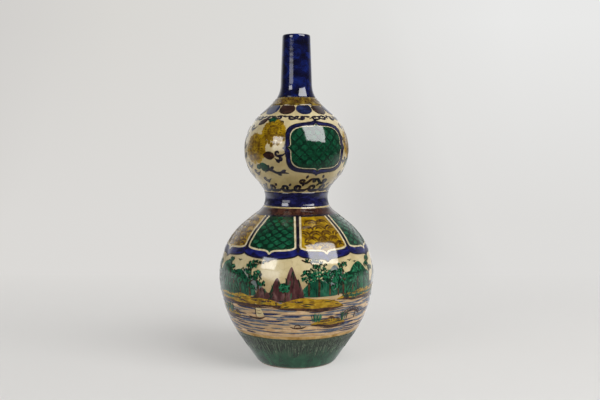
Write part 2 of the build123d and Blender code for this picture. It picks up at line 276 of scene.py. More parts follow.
def new_piece(name, vertices, faces, material):
    """Smooth mesh object at the origin with one material."""
    mesh = bpy.data.meshes.new(name)
    mesh.from_pydata([tuple(v) for v in vertices], [], faces)
    mesh.materials.append(material)
    mesh.polygons.foreach_set("use_smooth", [True] * len(mesh.polygons))
    mesh.update()
    piece = bpy.data.objects.new(name, mesh)
    bpy.context.scene.collection.objects.link(piece)
    return piece


def turned(name, rows, material, ends_on_axis):
    """Shell turned from (radius, height) rows: a ring, or a closed vessel with both ends on the axis."""
    rows = np.asarray(rows, float)
    angles = np.arange(SEGMENTS) * 2 * np.pi / SEGMENTS
    round_rows = rows[1:-1] if ends_on_axis else rows
    radius = round_rows[:, :1] + thrown(angles[None, :], round_rows[:, 1:])
    height = np.broadcast_to(round_rows[:, 1:], radius.shape)
    points = np.stack([radius * np.sin(angles), -radius * np.cos(angles), height], -1)
    vertices = list(points.reshape(-1, 3))
    count = len(round_rows)
    faces = []
    for row in range(count - 1 if ends_on_axis else count):
        low, high = row * SEGMENTS, (row + 1) % count * SEGMENTS
        for i in range(SEGMENTS):
            j = (i + 1) % SEGMENTS
            faces.append((low + i, low + j, high + j, high + i))
    if ends_on_axis:
        first, last = len(vertices), len(vertices) + 1
        vertices += [(0, 0, rows[0][1]), (0, 0, rows[-1][1])]
        top = (count - 1) * SEGMENTS
        for i in range(SEGMENTS):
            j = (i + 1) % SEGMENTS
            faces.append((first, j, i))
            faces.append((last, top + i, top + j))
    return new_piece(name, vertices, faces, material)


def buff_glaze():
    """Buff glaze: cream above, a tan band of partly painted shade round the waist, warmer where it pools
    low on the belly, with crackle and specks.
    """
    finish = Finish("buff_crackle_glaze", 0.09, GLAZE_GLOSS)
    clouds = finish.noise(24 * MM, 5.0)
    colour = finish.ramp(
        clouds, [(0.3, paint(170, 153, 110)), (0.52, paint(194, 178, 136)), (0.74, paint(210, 198, 162))]
    )
    # Painted shade: the tan band is strongest about the waist. It stands for the shade round the waist
    # and under the upper bulb, over a warmer tone of the glaze.
    shaded_tan = finish.ramp(clouds, [(0.3, paint(152, 130, 74)), (0.7, paint(178, 158, 104))])
    shaded_tan_band = finish.ramp(
        finish.spread(finish.along("Z"), SHADED_TAN_FROM, SHADED_TAN_TO, 0.0, 1.0),
        [(0.0, (0, 0, 0, 1)), (0.3, (0.7, 0.7, 0.7, 1)), (0.5, (0.8, 0.8, 0.8, 1)), (1.0, (0, 0, 0, 1))],
    )
    colour = finish.mixed(shaded_tan_band, colour, shaded_tan)
    pool = finish.spread(finish.along("Z"), POOL_FROM, POOL_TO, 0.0, 0.85)
    streaks = finish.noise(9 * MM, 3.0, (1, 1, 3))
    warm = finish.ramp(streaks, [(0.3, paint(164, 130, 92)), (0.7, paint(196, 166, 128))])
    colour = finish.mixed(pool, colour, warm)
    crackle = finish.spread(finish.cells(CRACKLE_SIZE, "DISTANCE_TO_EDGE"), 0.0, 0.022, 0.4, 0.0)
    colour = finish.mixed(crackle, colour, paint(128, 100, 66))
    specks = finish.spread(finish.cells(SPECK_SIZE, "F1"), 0.03, 0.07, 0.6, 0.0)
    colour = finish.mixed(specks, colour, paint(96, 66, 38))
    finish.relief(finish.noise(9 * MM, 3.0), 0.03 * MM)
    return finish.coloured(colour)


glaze = buff_glaze()
lip_points = [point for point in outer_points if point[1] >= crest_height - LIP_DEPTH]
floor_height = glaze_tree.ray_cast(Vector((0, 0, crest_height / 2)), Vector((0, 0, -1)))[0].z
inside = []
for height in np.linspace(crest_height - INSIDE_STARTS, floor_height + HIDDEN_STEP, INSIDE_ROWS):
    hit = glaze_tree.ray_cast(Vector((0, 0, height)), Vector((0, 1, 0)))[0]
    inside.append((hit.y, height))
hidden_floor = floor_height - HIDDEN_STEP
hidden_ring = radius_at(glaze_foot) - HIDDEN_STEP
glaze_rows = [(0, hidden_floor), (hidden_ring, hidden_floor), (hidden_ring, glaze_foot)]
glaze_rows += list(flow(outside, GLAZE_ROWS)) + lip_points[1:] + inside
glaze_rows += [(inside[-1][0] * 0.8, floor_height), (0, floor_height)]
glaze_skin = turned("glaze_skin", glaze_rows, glaze, True)
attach(glaze_skin, "root")
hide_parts("glaze_coat")
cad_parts["base_glaze"].data.materials.clear()
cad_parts["base_glaze"].data.materials.append(glaze)

# Blue enamel of the neck, over the lip: cobalt laid on with a wide brush while the vase turned,
# so it is almost black where it lies thick and bluer where the brush dragged it thin.
ENAMEL_RISE = 0.3 * MM
ENAMEL_ROOT = 0.12 * MM
RING_STEP = 1.2 * MM


def enamel(name, deep, middle, thin, patch, stretch=(1, 1, 1)):
    """Glossy enamel whose colour runs from deep to thin with the brush, given in screen values."""
    finish = Finish(name, 0.08, GLAZE_GLOSS)
    clouds = finish.noise(patch, 5.0, stretch, 0.4)
    finish.relief(finish.noise(patch / 2, 2.0, stretch), 0.02 * MM)
    tones = [(0.32, paint(*deep)), (0.5, paint(*middle)), (0.7, paint(*thin))]
    return finish.coloured(finish.ramp(clouds, tones))


def heights_of(node, unit=1.0):
    """Lowest and highest point of a CAD node, in metres or in another unit."""
    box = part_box(node)
    return box[0][2] / unit, box[1][2] / unit


def enamel_ring(node, material):
    """Ring of enamel round the wall, in place of a CAD node's ring, thin at its edges."""
    low, high = heights_of(node)
    over_lip = high > crest_height
    heights = np.linspace(low, min(high, wall_heights[-1]), max(6, int((high - low) / RING_STEP)))
    profile = [(radius_at(h), h) for h in heights]
    if over_lip:
        profile += lip_points[1:]
    profile = np.array(profile)
    along = np.gradient(profile, axis=0)
    normals = np.stack([along[:, 1], -along[:, 0]], -1)
    normals /= np.linalg.norm(normals, axis=1)[:, None]
    lift = np.full(len(profile), ENAMEL_RISE)
    lift[0] = 0
    if over_lip:
        normals[-1] = (0, 1)
    else:
        lift[-1] = 0
    shell = list(profile + normals * lift[:, None]) + list((profile - normals * ENAMEL_ROOT)[::-1])
    piece = turned(node + "_ring", shell, material, False)
    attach(piece, "root")
    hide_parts(node)


neck_cobalt = enamel("neck_cobalt", (8, 7, 24), (10, 13, 52), (18, 34, 100), 13 * MM, (1, 1, 1.5))
enamel_ring("neck_blue_enamel", neck_cobalt)

# Collar: a ring of mustard enamel where the neck leaves the bulb, crossed by short strokes of brown
# that fan out from the neck. A stroke is a dab of a loaded brush, thin and closed on all sides.
COLLAR_STROKES = 72
STROKE_RISE = 0.12 * MM
DAB_ROWS = 7
mustard = enamel("mustard_enamel", (96, 68, 4), (142, 110, 8), (172, 140, 20), 7 * MM)
brown = enamel("brown_stroke", (44, 24, 12), (74, 46, 16), (104, 72, 24), 4 * MM)
dull_mustard = enamel("dull_mustard", (54, 38, 12), (98, 76, 20), (142, 118, 44), 6 * MM)
enamel_ring("collar_yellow_enamel", dull_mustard)


def dab_shape():
    """One dab of the brush: a flat lens a unit long and wide, with an under side."""
    share = np.linspace(-1, 1, DAB_ROWS)
    half = 0.5 * np.maximum(0.12, (1 - share ** 2) ** 0.6)
    vertices = []
    for along, side in zip(share / 2, half):
        vertices += [(along, side, 0), (along, -side, 0), (along, side, 0), (along, -side, 0)]
    faces = [(0, 2, 3, 1)]
    for row in range(DAB_ROWS - 1):
        a, b, c, d = range(4 * row, 4 * row + 4)
        faces += [(b, b + 4, a + 4, a), (c, c + 4, d + 4, d), (a, a + 4, c + 4, c), (d, d + 4, b + 4, b)]
    a, b, c, d = range(4 * DAB_ROWS - 4, 4 * DAB_ROWS)
    faces.append((b, d, c, a))
    mesh = bpy.data.meshes.new("dab_shape")
    mesh.from_pydata(vertices, [], faces)
    upper = mesh.attributes.new("upper", "FLOAT", "POINT")
    upper.data.foreach_set("value", [1.0, 1.0, 0.0, 0.0] * DAB_ROWS)
    return bpy.data.objects.new("dab_shape", mesh)


def dab_tree():
    """Geometry nodes that put a dab on every point, turned and sized by the point's attributes."""
    tree = bpy.data.node_groups.new("brush_dabs", "GeometryNodeTree")
    tree.interface.new_socket("Points", in_out="INPUT", socket_type="NodeSocketGeometry")
    tree.interface.new_socket("Dab", in_out="INPUT", socket_type="NodeSocketObject")
    tree.interface.new_socket("Enamel", in_out="INPUT", socket_type="NodeSocketMaterial")
    tree.interface.new_socket("Strokes", in_out="OUTPUT", socket_type="NodeSocketGeometry")
    entry = tree.nodes.new("NodeGroupInput")
    leave = tree.nodes.new("NodeGroupOutput")
    shape = tree.nodes.new("GeometryNodeObjectInfo")
    scatter = tree.nodes.new("GeometryNodeInstanceOnPoints")
    turn = tree.nodes.new("FunctionNodeAxesToRotation")
    turn.primary_axis = "Z"
    turn.secondary_axis = "X"
    realize = tree.nodes.new("GeometryNodeRealizeInstances")
    coat = tree.nodes.new("GeometryNodeSetMaterial")
    read = {}
    for name in ("out", "along", "size"):
        read[name] = tree.nodes.new("GeometryNodeInputNamedAttribute")
        read[name].data_type = "FLOAT_VECTOR"
        read[name].inputs["Name"].default_value = name
    for output, socket in (
        (entry.outputs["Points"], scatter.inputs["Points"]),
        (entry.outputs["Dab"], shape.inputs["Object"]),
        (shape.outputs["Geometry"], scatter.inputs["Instance"]),
        (read["out"].outputs["Attribute"], turn.inputs["Primary Axis"]),
        (read["along"].outputs["Attribute"], turn.inputs["Secondary Axis"]),
        (turn.outputs["Rotation"], scatter.inputs["Rotation"]),
        (read["size"].outputs["Attribute"], scatter.inputs["Scale"]),
        (scatter.outputs["Instances"], realize.inputs["Geometry"]),
        (realize.outputs["Geometry"], coat.inputs["Geometry"]),
        (entry.outputs["Enamel"], coat.inputs["Material"]),
        (coat.outputs["Geometry"], leave.inputs["Strokes"]),
    ):
        tree.links.new(output, socket)
    return tree


def wall_place(points):
    """Angles, heights and lifts of points near the wall."""
    angle = np.arctan2(points[:, 0], -points[:, 1])
    radius = np.hypot(points[:, 0], points[:, 1])
    height = points[:, 2].copy()
    for _ in range(4):
        step = 0.4 * MM
        slope = (radius_at(height + step) - radius_at(height - step)) / (2 * step)
        length = np.sqrt(1 + slope ** 2)
        lift = ((radius - radius_at(height)) - (points[:, 2] - height) * slope) / length
        height = points[:, 2] + lift * slope / length
    return angle, height, lift


def lay_on_wall(mesh, angle, height, lift, top):
    """Seat a mesh's vertices on the wall, and let the faces of its top shine as the wall does."""
    mesh.vertices.foreach_set("co", on_wall(angle, height, lift).ravel())
    mesh.polygons.foreach_set("use_smooth", [True] * len(mesh.polygons))
    mesh.update()
    corner = np.empty(len(mesh.loops), np.int32)
    mesh.loops.foreach_get("vertex_index", corner)
    start = np.empty(len(mesh.polygons), np.int32)
    mesh.polygons.foreach_get("loop_start", start)
    sides = np.empty(len(mesh.polygons), np.int32)
    mesh.polygons.foreach_get("loop_total", sides)
    facing = np.empty(3 * len(mesh.polygons), np.float32)
    mesh.polygons.foreach_get("normal", facing)
    face_is_top = np.logical_and.reduceat(top[corner], start)
    normals = np.repeat(facing.reshape(-1, 3), sides, axis=0)
    on_top = np.repeat(face_is_top, sides)
    normals[on_top] = wall_normal(angle, height)[corner][on_top]
    mesh.normals_split_custom_set(normals.tolist())


def ride_as_enamel(piece):
    """Give a painted piece to the vase's one body."""
    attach(piece, "root")


dab = dab_shape()
dabs_on_points = dab_tree()


def dabs(name, marks, material):
    """Dabs of one enamel, from marks of (degrees, mm up, tilt, mm long, mm wide, mm of base)."""
    angle, height, tilt, length, width, base = np.array(marks, float).T
    angle, height, tilt = np.radians(angle), height * MM, np.radians(tilt)
    out = wall_normal(angle, height)
    right = np.stack([np.cos(angle), np.sin(angle), np.zeros(len(angle))], -1)
    along = right * np.cos(tilt)[:, None] + np.cross(out, right) * np.sin(tilt)[:, None]
    size = np.stack([length * MM, width * MM, np.ones(len(angle))], -1)
    points = bpy.data.meshes.new(name + "_points")
    points.from_pydata([tuple(p) for p in on_wall(angle, height)], [], [])
    for label, values in (("out", out), ("along", along), ("size", size)):
        attribute = points.attributes.new(label, "FLOAT_VECTOR", "POINT")
        attribute.data.foreach_set("vector", values.ravel())
    points.attributes.new("base", "FLOAT", "POINT").data.foreach_set("value", base * MM)
    holder = bpy.data.objects.new(name + "_points", points)
    bpy.context.scene.collection.objects.link(holder)
    modifier = holder.modifiers.new("brush", "NODES")
    modifier.node_group = dabs_on_points
    for socket in dabs_on_points.interface.items_tree:
        if socket.name == "Dab":
            modifier[socket.identifier] = dab
        if socket.name == "Enamel":
            modifier[socket.identifier] = material
    depsgraph = bpy.context.evaluated_depsgraph_get()
    mesh = bpy.data.meshes.new_from_object(
        holder.evaluated_get(depsgraph), preserve_all_data_layers=True, depsgraph=depsgraph
    )
    mesh.name = name
    bpy.data.objects.remove(holder)
    count = len(mesh.vertices)
    upper = np.empty(count, np.float32)
    mesh.attributes["upper"].data.foreach_get("value", upper)
    below = np.empty(count, np.float32)
    mesh.attributes["base"].data.foreach_get("value", below)
    places = np.empty(3 * count, np.float32)
    mesh.vertices.foreach_get("co", places)
    for label in ("out", "along", "size", "base", "upper"):
        if label in mesh.attributes:
            mesh.attributes.remove(mesh.attributes[label])
    angle, height, _ = wall_place(places.reshape(-1, 3).astype(float))
    top = upper > 0.5
    lay_on_wall(mesh, angle, height, np.where(top, below + STROKE_RISE, -ENAMEL_ROOT), top)
    piece = bpy.data.objects.new(name, mesh)
    bpy.context.scene.collection.objects.link(piece)
    ride_as_enamel(piece)


chance = random.Random(7)
OVER_ENAMEL = ENAMEL_RISE / MM
collar_low, collar_high = heights_of("collar_yellow_enamel", MM)
collar_marks = []
for index in range(COLLAR_STROKES):
    angle = index * 360 / COLLAR_STROKES + chance.uniform(-2, 2)
    height = chance.uniform(collar_low + 3.2, collar_high - 2.2)
    tilt = 90 + chance.uniform(-50, 50)
    length, width = chance.uniform(3.0, 5.5), chance.uniform(0.8, 1.7)
    collar_marks.append((angle, height, tilt, length, width, OVER_ENAMEL))
dabs("collar_strokes", collar_marks, brown)

# Lobed enamels: petals, medallions, flowers, leaves and shoulder panels, each filled in with a
# loaded brush inside its outline, so that it stands a little proud of the glaze.
LONGEST_EDGE = 2.2 * MM
LIFT_OF_TOP = 0.4 * MM
cobalt = enamel("cobalt_enamel", (10, 10, 38), (18, 19, 76), (32, 40, 108), 9 * MM, (1, 1, 2))
dark_cobalt = enamel("dark_cobalt", (10, 10, 30), (18, 18, 56), (34, 36, 84), 9 * MM, (1, 1, 2))
petal_cobalt = enamel("petal_cobalt", (10, 14, 34), (18, 26, 62), (34, 46, 86), 9 * MM, (1, 1, 2))
aubergine = enamel("aubergine_enamel", (26, 12, 10), (44, 24, 19), (64, 40, 30), 8 * MM, (1, 1, 2))
green = enamel("emerald_enamel", (4, 34, 20), (8, 52, 32), (20, 76, 50), 7 * MM)


def merged(node):
    """Copy of a CAD node's mesh with its triangles joined."""
    work = bmesh.new()
    work.from_mesh(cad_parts[node].data)
    bmesh.ops.remove_doubles(work, verts=work.verts, dist=SAME_POINT)
    return work


def lobed_enamel(node, material):
    """Enamel patches in place of a CAD node's: its outlines, seated on the thrown wall."""
    work = merged(node)
    for _ in range(5):
        longest = [edge for edge in work.edges if edge.calc_length() > LONGEST_EDGE]
        if not longest:
            break
        bmesh.ops.subdivide_edges(work, edges=longest, cuts=1)
        bmesh.ops.triangulate(work, faces=[f for f in work.faces if len(f.verts) > 3])
    mesh = bpy.data.meshes.new(node + "_patches")
    work.to_mesh(mesh)
    angle, height, lift = wall_place(np.array([v.co for v in work.verts]))
    work.free()
    top = lift > LIFT_OF_TOP
    mesh.materials.append(material)
    lay_on_wall(mesh, angle, height, np.where(top, ENAMEL_RISE, -ENAMEL_ROOT), top)
    piece = bpy.data.objects.new(mesh.name, mesh)
    bpy.context.scene.collection.objects.link(piece)
    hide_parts(node)
    ride_as_enamel(piece)


for node, material, slot in (
    ("petals_blue_enamel", petal_cobalt, "blue_enamel"),
    ("petals_aubergine_enamel", aubergine, "aubergine_enamel"),
    ("medallion_frames_blue", dark_cobalt, "blue_enamel"),
    ("medallion_fields_green", green, "green_enamel"),
    ("flowers_yellow_enamel", mustard, "yellow_enamel"),
    ("leaves_green_enamel", green, "green_enamel"),
    ("leaves_aubergine_enamel", aubergine, "aubergine_enamel"),
    ("shoulder_frame_blue", cobalt, "blue_enamel"),
    ("shoulder_panels_green", green, "green_enamel"),
    ("shoulder_panels_yellow", mustard, "yellow_enamel"),
):
    lobed_enamel(node, material)

# Waist and shoulder bands: a cobalt ring in the waist, a bare line of glaze, and an aubergine ring
# brushed up and down, so that it is streaked.
streaked = enamel("streaked_aubergine", (32, 14, 14), (52, 27, 22), (76, 46, 36), 5 * MM, (1, 1, 0.3))
enamel_ring("waist_blue_enamel", dark_cobalt)
enamel_ring("shoulder_aubergine_band", streaked)

# Outlines of the medallions: a dark line drawn with a fine brush round each border, and a wider line
# of cream round the green field inside it.
LINE_STEP = 1.1 * MM
FINE_LINE = 1.0
FIELD_LINE = 3.2
line_black = enamel("line_black", (14, 12, 22), (24, 20, 34), (46, 40, 52), 4 * MM)
pale_cream = enamel("pale_cream_line", (172, 158, 120), (194, 180, 144), (210, 198, 168), 4 * MM)
deep_green_line = enamel("deep_green_line", (4, 22, 16), (6, 36, 24), (12, 52, 34), 4 * MM)


def smooth_path(path, closed):
    """Smooth curve through (degrees, mm) points, as angles and heights at even steps."""
    path = np.asarray(path, float)
    reach = float(radius_at(path[:, 1].mean() * MM))
    flat = np.stack([np.radians(path[:, 0]) * reach, path[:, 1] * MM], -1)
    count = len(flat)
    dense = []
    for i in range(count if closed else count - 1):
        if closed:
            a, b, c, d = (flat[(i + k) % count] for k in (-1, 0, 1, 2))
        else:
            a, b, c, d = (flat[min(max(i + k, 0), count - 1)] for k in (-1, 0, 1, 2))
        steps = max(1, round(float(np.linalg.norm(c - b)) / LINE_STEP))
        for t in np.arange(steps) / steps:
            bend = 2 * a - 5 * b + 4 * c - d + t * (3 * (b - c) + d - a)
            dense.append(b + 0.5 * t * (c - a + t * bend))
    if not closed:
        dense.append(flat[-1])
    dense = np.array(dense)
    return dense[:, 0] / reach, dense[:, 1]


class Brushwork:
    """Lines and washes of one enamel, gathered into one mesh. Each is thin and closed on all sides."""

    def __init__(self):
        self.angle, self.height, self.lift, self.top, self.faces = [], [], [], [], []

    def layer(self, angle, height, lift, top):
        """Add vertices, and tell where they start."""
        start = len(self.angle)
        self.angle.extend(angle)
        self.height.extend(height)
        self.lift.extend([lift] * len(angle))
        self.top.extend([top] * len(angle))
        return start

    def line(self, path, width, base=0.0, ends=(0.3, 0.3), closed=False):
        """Stroke through (degrees, mm) points, width mm wide, that thins over the shares at its ends."""
        angle, height = smooth_path(path, closed)
        radius, stretch = radius_at(height), wall_stretch(height)
        if closed:
            across = (np.roll(angle, -1) - np.roll(angle, 1)) * radius
            rise = (np.roll(height, -1) - np.roll(height, 1)) * stretch
        else:
            across, rise = np.gradient(angle) * radius, np.gradient(height) * stretch
        length = np.hypot(across, rise) + SAME_POINT * MM
        share = np.linspace(0, 1, len(angle))
        pen = np.full(len(angle), width * MM / 2)
        if not closed:
            near_end = np.minimum((share + 0.02) / (ends[0] + 0.02), (1.02 - share) / (ends[1] + 0.02))
            pen *= np.clip(near_end, 0, 1) ** 0.7
        sideways, upward = -rise / length * pen / radius, across / length * pen / stretch
        count = len(angle)
        rise_to = base * MM + STROKE_RISE
        a = self.layer(angle + sideways, height + upward, rise_to, True)
        b = self.layer(angle - sideways, height - upward, rise_to, True)
        c = self.layer(angle + sideways, height + upward, -ENAMEL_ROOT, False)
        d = self.layer(angle - sideways, height - upward, -ENAMEL_ROOT, False)
        for i in range(count if closed else count - 1):
            j = (i + 1) % count
            for left, right in ((b, a), (c, d), (a, c), (d, b)):
                self.faces.append((left + i, left + j, right + j, right + i))
        if not closed:
            e = count - 1
            self.faces += [(a, c, d, b), (b + e, d + e, c + e, a + e)]

    def wash(self, outline, base=0.0, grid=3.0):
        """Patch inside a smooth closed outline of (degrees, mm) points."""
        angle, height = smooth_path(outline, True)
        reach = float(radius_at(height.mean())) / MM
        rim = [Vector((a * reach, h / MM)) for a, h in zip(angle, height)]
        low = [min(p[k] for p in rim) for k in (0, 1)]
        high = [max(p[k] for p in rim) for k in (0, 1)]
        inner = [
            Vector((x, y)) for x in np.arange(low[0] + grid / 2, high[0], grid)
            for y in np.arange(low[1] + grid / 2, high[1], grid)
        ]
        count = len(rim)
        points, _, faces, _, _, _ = delaunay_2d_cdt(
            rim + inner, [(i, (i + 1) % count) for i in range(count)], [], 1, SAME_POINT
        )
        used = sorted({v for face in faces for v in face})
        number = {v: i for i, v in enumerate(used)}
        turn = [points[v][0] / reach for v in used]
        rise = [points[v][1] * MM for v in used]
        upper = self.layer(turn, rise, base * MM + STROKE_RISE, True)
        under = self.layer(turn, rise, -ENAMEL_ROOT, False)
        sides = set()
        for face in faces:
            x = [number[v] for v in face]
            self.faces.append(tuple(upper + i for i in x))
            self.faces.append(tuple(under + i for i in reversed(x)))
            sides |= {(x[0], x[1]), (x[1], x[2]), (x[2], x[0])}
        for i, j in sorted(sides):
            if (j, i) not in sides:
                self.faces.append((under + i, under + j, upper + j, upper + i))

    def piece(self, name, material, slot):
        """Make the mesh and give it to the vase."""
        angle, height, lift = np.array(self.angle), np.array(self.height), np.array(self.lift)
        work = new_piece(name, on_wall(angle, height, lift), self.faces, material)
        lay_on_wall(work.data, angle, height, lift, np.array(self.top))
        ride_as_enamel(work)


def rim_loops(node):
    """Closed (degrees, mm) outlines of the patches of a CAD node."""
    work = merged(node)
    angle, height, lift = wall_place(np.array([v.co for v in work.verts]))
    top = lift > LIFT_OF_TOP
    links = {}
    for edge in work.edges:
        ends = [v.index for v in edge.verts]
        faces_on_top = sum(all(top[v.index] for v in face.verts) for face in edge.link_faces)
        if all(top[v] for v in ends) and faces_on_top == 1:
            links.setdefault(ends[0], []).append(ends[1])
            links.setdefault(ends[1], []).append(ends[0])
    work.free()
    loops = []
    left = set(links)
    while left:
        loop = [min(left)]
        left.discard(loop[0])
        while True:
            onward = [v for v in links[loop[-1]] if v in left]
            if not onward:
                break
            loop.append(onward[0])
            left.discard(onward[0])
        turn = np.degrees(np.unwrap(angle[loop]))
        loops.append(np.stack([turn, height[loop] / MM], -1))
    return loops


border_lines, cream_lines = Brushwork(), Brushwork()
for loop in rim_loops("medallion_fields_green"):
    cream_lines.line(loop, FIELD_LINE, closed=True)
for loop in rim_loops("medallion_frames_blue"):
    border_lines.line(loop, FINE_LINE, OVER_ENAMEL, closed=True)

# Lobes of the shoulder's hem, brushed over its edge: the blue border hangs in a bracket under each
# panel, and the panel's own colour and its cream line follow it. A dark line edges hem and bars.
PANEL_TURN = -21.0
PANEL_SPAN = 45
HALF_PANEL = PANEL_SPAN / 2
HALF_BAR = 2.8
PANELS = [
    (PANEL_TURN + PANEL_SPAN * index, "green" if index % 2 == 0 else "yellow") for index in range(8)
]
# Edges of half a lobe, as degrees from the middle of its panel and mm up.
HEM_EDGE = [(0, 128.3), (1.3, 130.0), (4, 131.2), (12, 132.0), (19, 133.6), (22.5, 135.9)]
PANEL_EDGE = [
    (0, 136.2), (1.4, 138.2), (3.5, 139.4), (8, 139.9), (15, 140.6), (19.0, 141.9), (20.3, 143.6),
]
HEM_TOP = [(22.5, 137.2), (14, 137.8), (0, 138.4), (-14, 137.8), (-22.5, 137.2)]
PANEL_MIDDLE = [(20, 149), (0, 151), (-20, 149)]
PANEL_LINE, HEM_LINE, BAR_LINE, TOP_LINE = 2.0, 1.5, 3.3, 2.4
LOBE_BASE, PANEL_BASE, CREAM_BASE, OVER_PANEL = 0.2, 0.26, 0.32, 0.42
BLUNT = (0.0, 0.0)
panel_top = heights_of("shoulder_panels_green", MM)[1]
frame_top = heights_of("shoulder_frame_blue", MM)[1]
hem_wash, green_wash, yellow_wash = Brushwork(), Brushwork(), Brushwork()


def both_ways(edge, angle):
    """An edge given from the tip of a lobe to its side, carried from its left side to its right."""
    return [(angle - a, h) for a, h in reversed(edge[1:])] + [(angle + a, h) for a, h in edge]


for angle, colour in PANELS:
    hem_top = [(angle + turn, height) for turn, height in HEM_TOP]
    hem_wash.wash(both_ways(HEM_EDGE, angle) + hem_top, LOBE_BASE)
    wash = green_wash if colour == "green" else yellow_wash
    middle = [(angle + turn, height) for turn, height in PANEL_MIDDLE]
    wash.wash(both_ways(PANEL_EDGE, angle) + middle, PANEL_BASE)
    outline = both_ways(PANEL_EDGE + [(20.2, 150), (19.8, 161), (18.9, panel_top)], angle)
    cream_lines.line(outline, PANEL_LINE, CREAM_BASE, BLUNT)
    border_lines.line(both_ways(HEM_EDGE, angle), HEM_LINE, OVER_ENAMEL, BLUNT)
    bar = [(angle + HALF_PANEL, height) for height in (138, 143, 158, frame_top + 0.6)]
    border_lines.line(bar, BAR_LINE, OVER_ENAMEL, (0.12, 0.0))
    top = [(angle + PANEL_SPAN * k / 8, panel_top + 0.5) for k in range(-4, 5)]
    border_lines.line(top, TOP_LINE, OVER_ENAMEL, BLUNT)
hem_wash.piece("hem_lobes", cobalt, "blue_enamel")
green_wash.piece("green_panel_lobes", green, "green_enamel")
yellow_wash.piece("yellow_panel_lobes", mustard, "yellow_enamel")


def on_panel(middle):
    """Test of whether (degrees, mm) points lie on the panel at an angle, with a margin in mm."""

    def test(angle, height, margin=0.0):
        offset = abs((angle - middle + 180) % 360 - 180)
        reach = float(radius_at(height * MM)) / MM
        side = HALF_PANEL - math.degrees((HALF_BAR + margin) / reach)
        low = np.interp(offset, *np.array(PANEL_EDGE).T)
        return offset < side and low + margin < height < panel_top - margin

    return test


# Tips of the medallions' borders: each swells into its point with a curve on both sides, filled in
# with the border's own cobalt before the dark line and the cream line are drawn.


def placed(points, angle, height, size=1.0, hand=1):
    """Points of a motif, in mm to the right and up along the wall, set at an angle and a height."""
    reach = float(radius_at(height * MM)) / MM
    stretch = float(wall_stretch(height * MM))
    return [
        (angle + hand * math.degrees(size * right / reach), height + size * up / stretch)
        for right, up in points
    ]


TIP = [(0, 0.4), (1.7, -1.4), (4.8, -2.7), (10, -3.7), (0, -5.4), (-10, -3.7), (-4.8, -2.7), (-1.7, -1.4)]
BORDER_SPAN = 75
tip_wash = Brushwork()
for loop in rim_loops("medallion_frames_blue"):
    inner_edge = np.ptp(loop[:, 0]) < BORDER_SPAN
    if inner_edge:
        continue
    for turn, spot in (
        (0, loop[np.argmax(loop[:, 1])]), (90, loop[np.argmin(loop[:, 0])]),
        (180, loop[np.argmin(loop[:, 1])]), (270, loop[np.argmax(loop[:, 0])]),
    ):
        c, s = math.cos(math.radians(turn)), math.sin(math.radians(turn))
        tip_wash.wash(placed([(c * x - s * y, s * x + c * y) for x, y in TIP], *spot), LOBE_BASE)
tip_wash.piece("medallion_tips", dark_cobalt, "blue_enamel")
border_lines.piece("border_lines", line_black, "blue_enamel")
cream_lines.piece("cream_lines", pale_cream, "glaze")

# Lattices on the green enamels: dark lines crossed into lozenges, and a touch of paler green in the
# middle of each lozenge, on the medallions' fields and the green panels of the shoulder.
LATTICE_LINE = (1.1, 1.6)
panel_touch = enamel("panel_green_touch", (8, 56, 36), (16, 74, 48), (32, 98, 68), 5 * MM)
field_touch = enamel("field_green_touch", (4, 44, 26), (10, 60, 38), (22, 80, 54), 5 * MM)


def covered_by(node):
    """Test of whether (degrees, mm) points lie on a CAD node's enamel, with a margin in mm."""
    enamel_tree = search_tree(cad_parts[node].data)

    def test(angle, height, margin=0.0):
        turn = math.degrees(margin * MM / float(radius_at(height * MM)))
        near = [(angle, height)]
        if margin:
            near += [(angle + turn, height), (angle - turn, height)]
            near += [(angle, height + margin), (angle, height - margin)]
        spots = [Vector(on_wall(math.radians(a), h * MM, LIFT_OF_TOP)) for a, h in near]
        return all(enamel_tree.find_nearest(spot, 2 * LIFT_OF_TOP)[0] for spot in spots)

    return test


def inside_runs(path, test, margin):
    """The stretches of a path that lie on an enamel."""
    runs = [[]]
    for angle, height in path:
        if test(angle, height, margin):
            runs[-1].append((angle, height))
        elif runs[-1]:
            runs.append([])
    return [run for run in runs if len(run) > 2]


def lozenges(lines, marks, test, angle, height, half, pitch, rise, base):
    """Lattice over a patch of enamel about a centre: its lines, and the marks of its pale touches."""
    steps = int(half * 1.6 / pitch) + 1
    for hand in (1, -1):
        for k in range(-2 * steps, 2 * steps + 1):
            drift = chance.uniform(-0.05, 0.05) * pitch
            flat = [(x, hand * rise * (x - k * pitch - drift)) for x in np.arange(-half, half, 1.0)]
            path = placed([p for p in flat if abs(p[1]) < half], angle, height)
            for run in inside_runs(path, test, 0.5):
                lines.line(run, chance.uniform(*LATTICE_LINE), base, (0.1, 0.1))
    for m in range(-2 * steps, 2 * steps + 1):
        for n in range(-2 * steps, 2 * steps + 1):
            spot = placed([(m * pitch / 2, n * rise * pitch / 2)], angle, height)[0]
            if (m + n) % 2 == 0 or abs(m * pitch / 2) > half or abs(n * rise * pitch / 2) > half:
                continue
            for margin, share in ((0.36 * pitch, 1.0), (0.2 * pitch, 0.55)):
                if test(*spot, margin):
                    tilt = chance.uniform(-30, 30)
                    marks.append((*spot, tilt, share * pitch * 0.62, share * pitch * rise * 0.54, base))
                    break


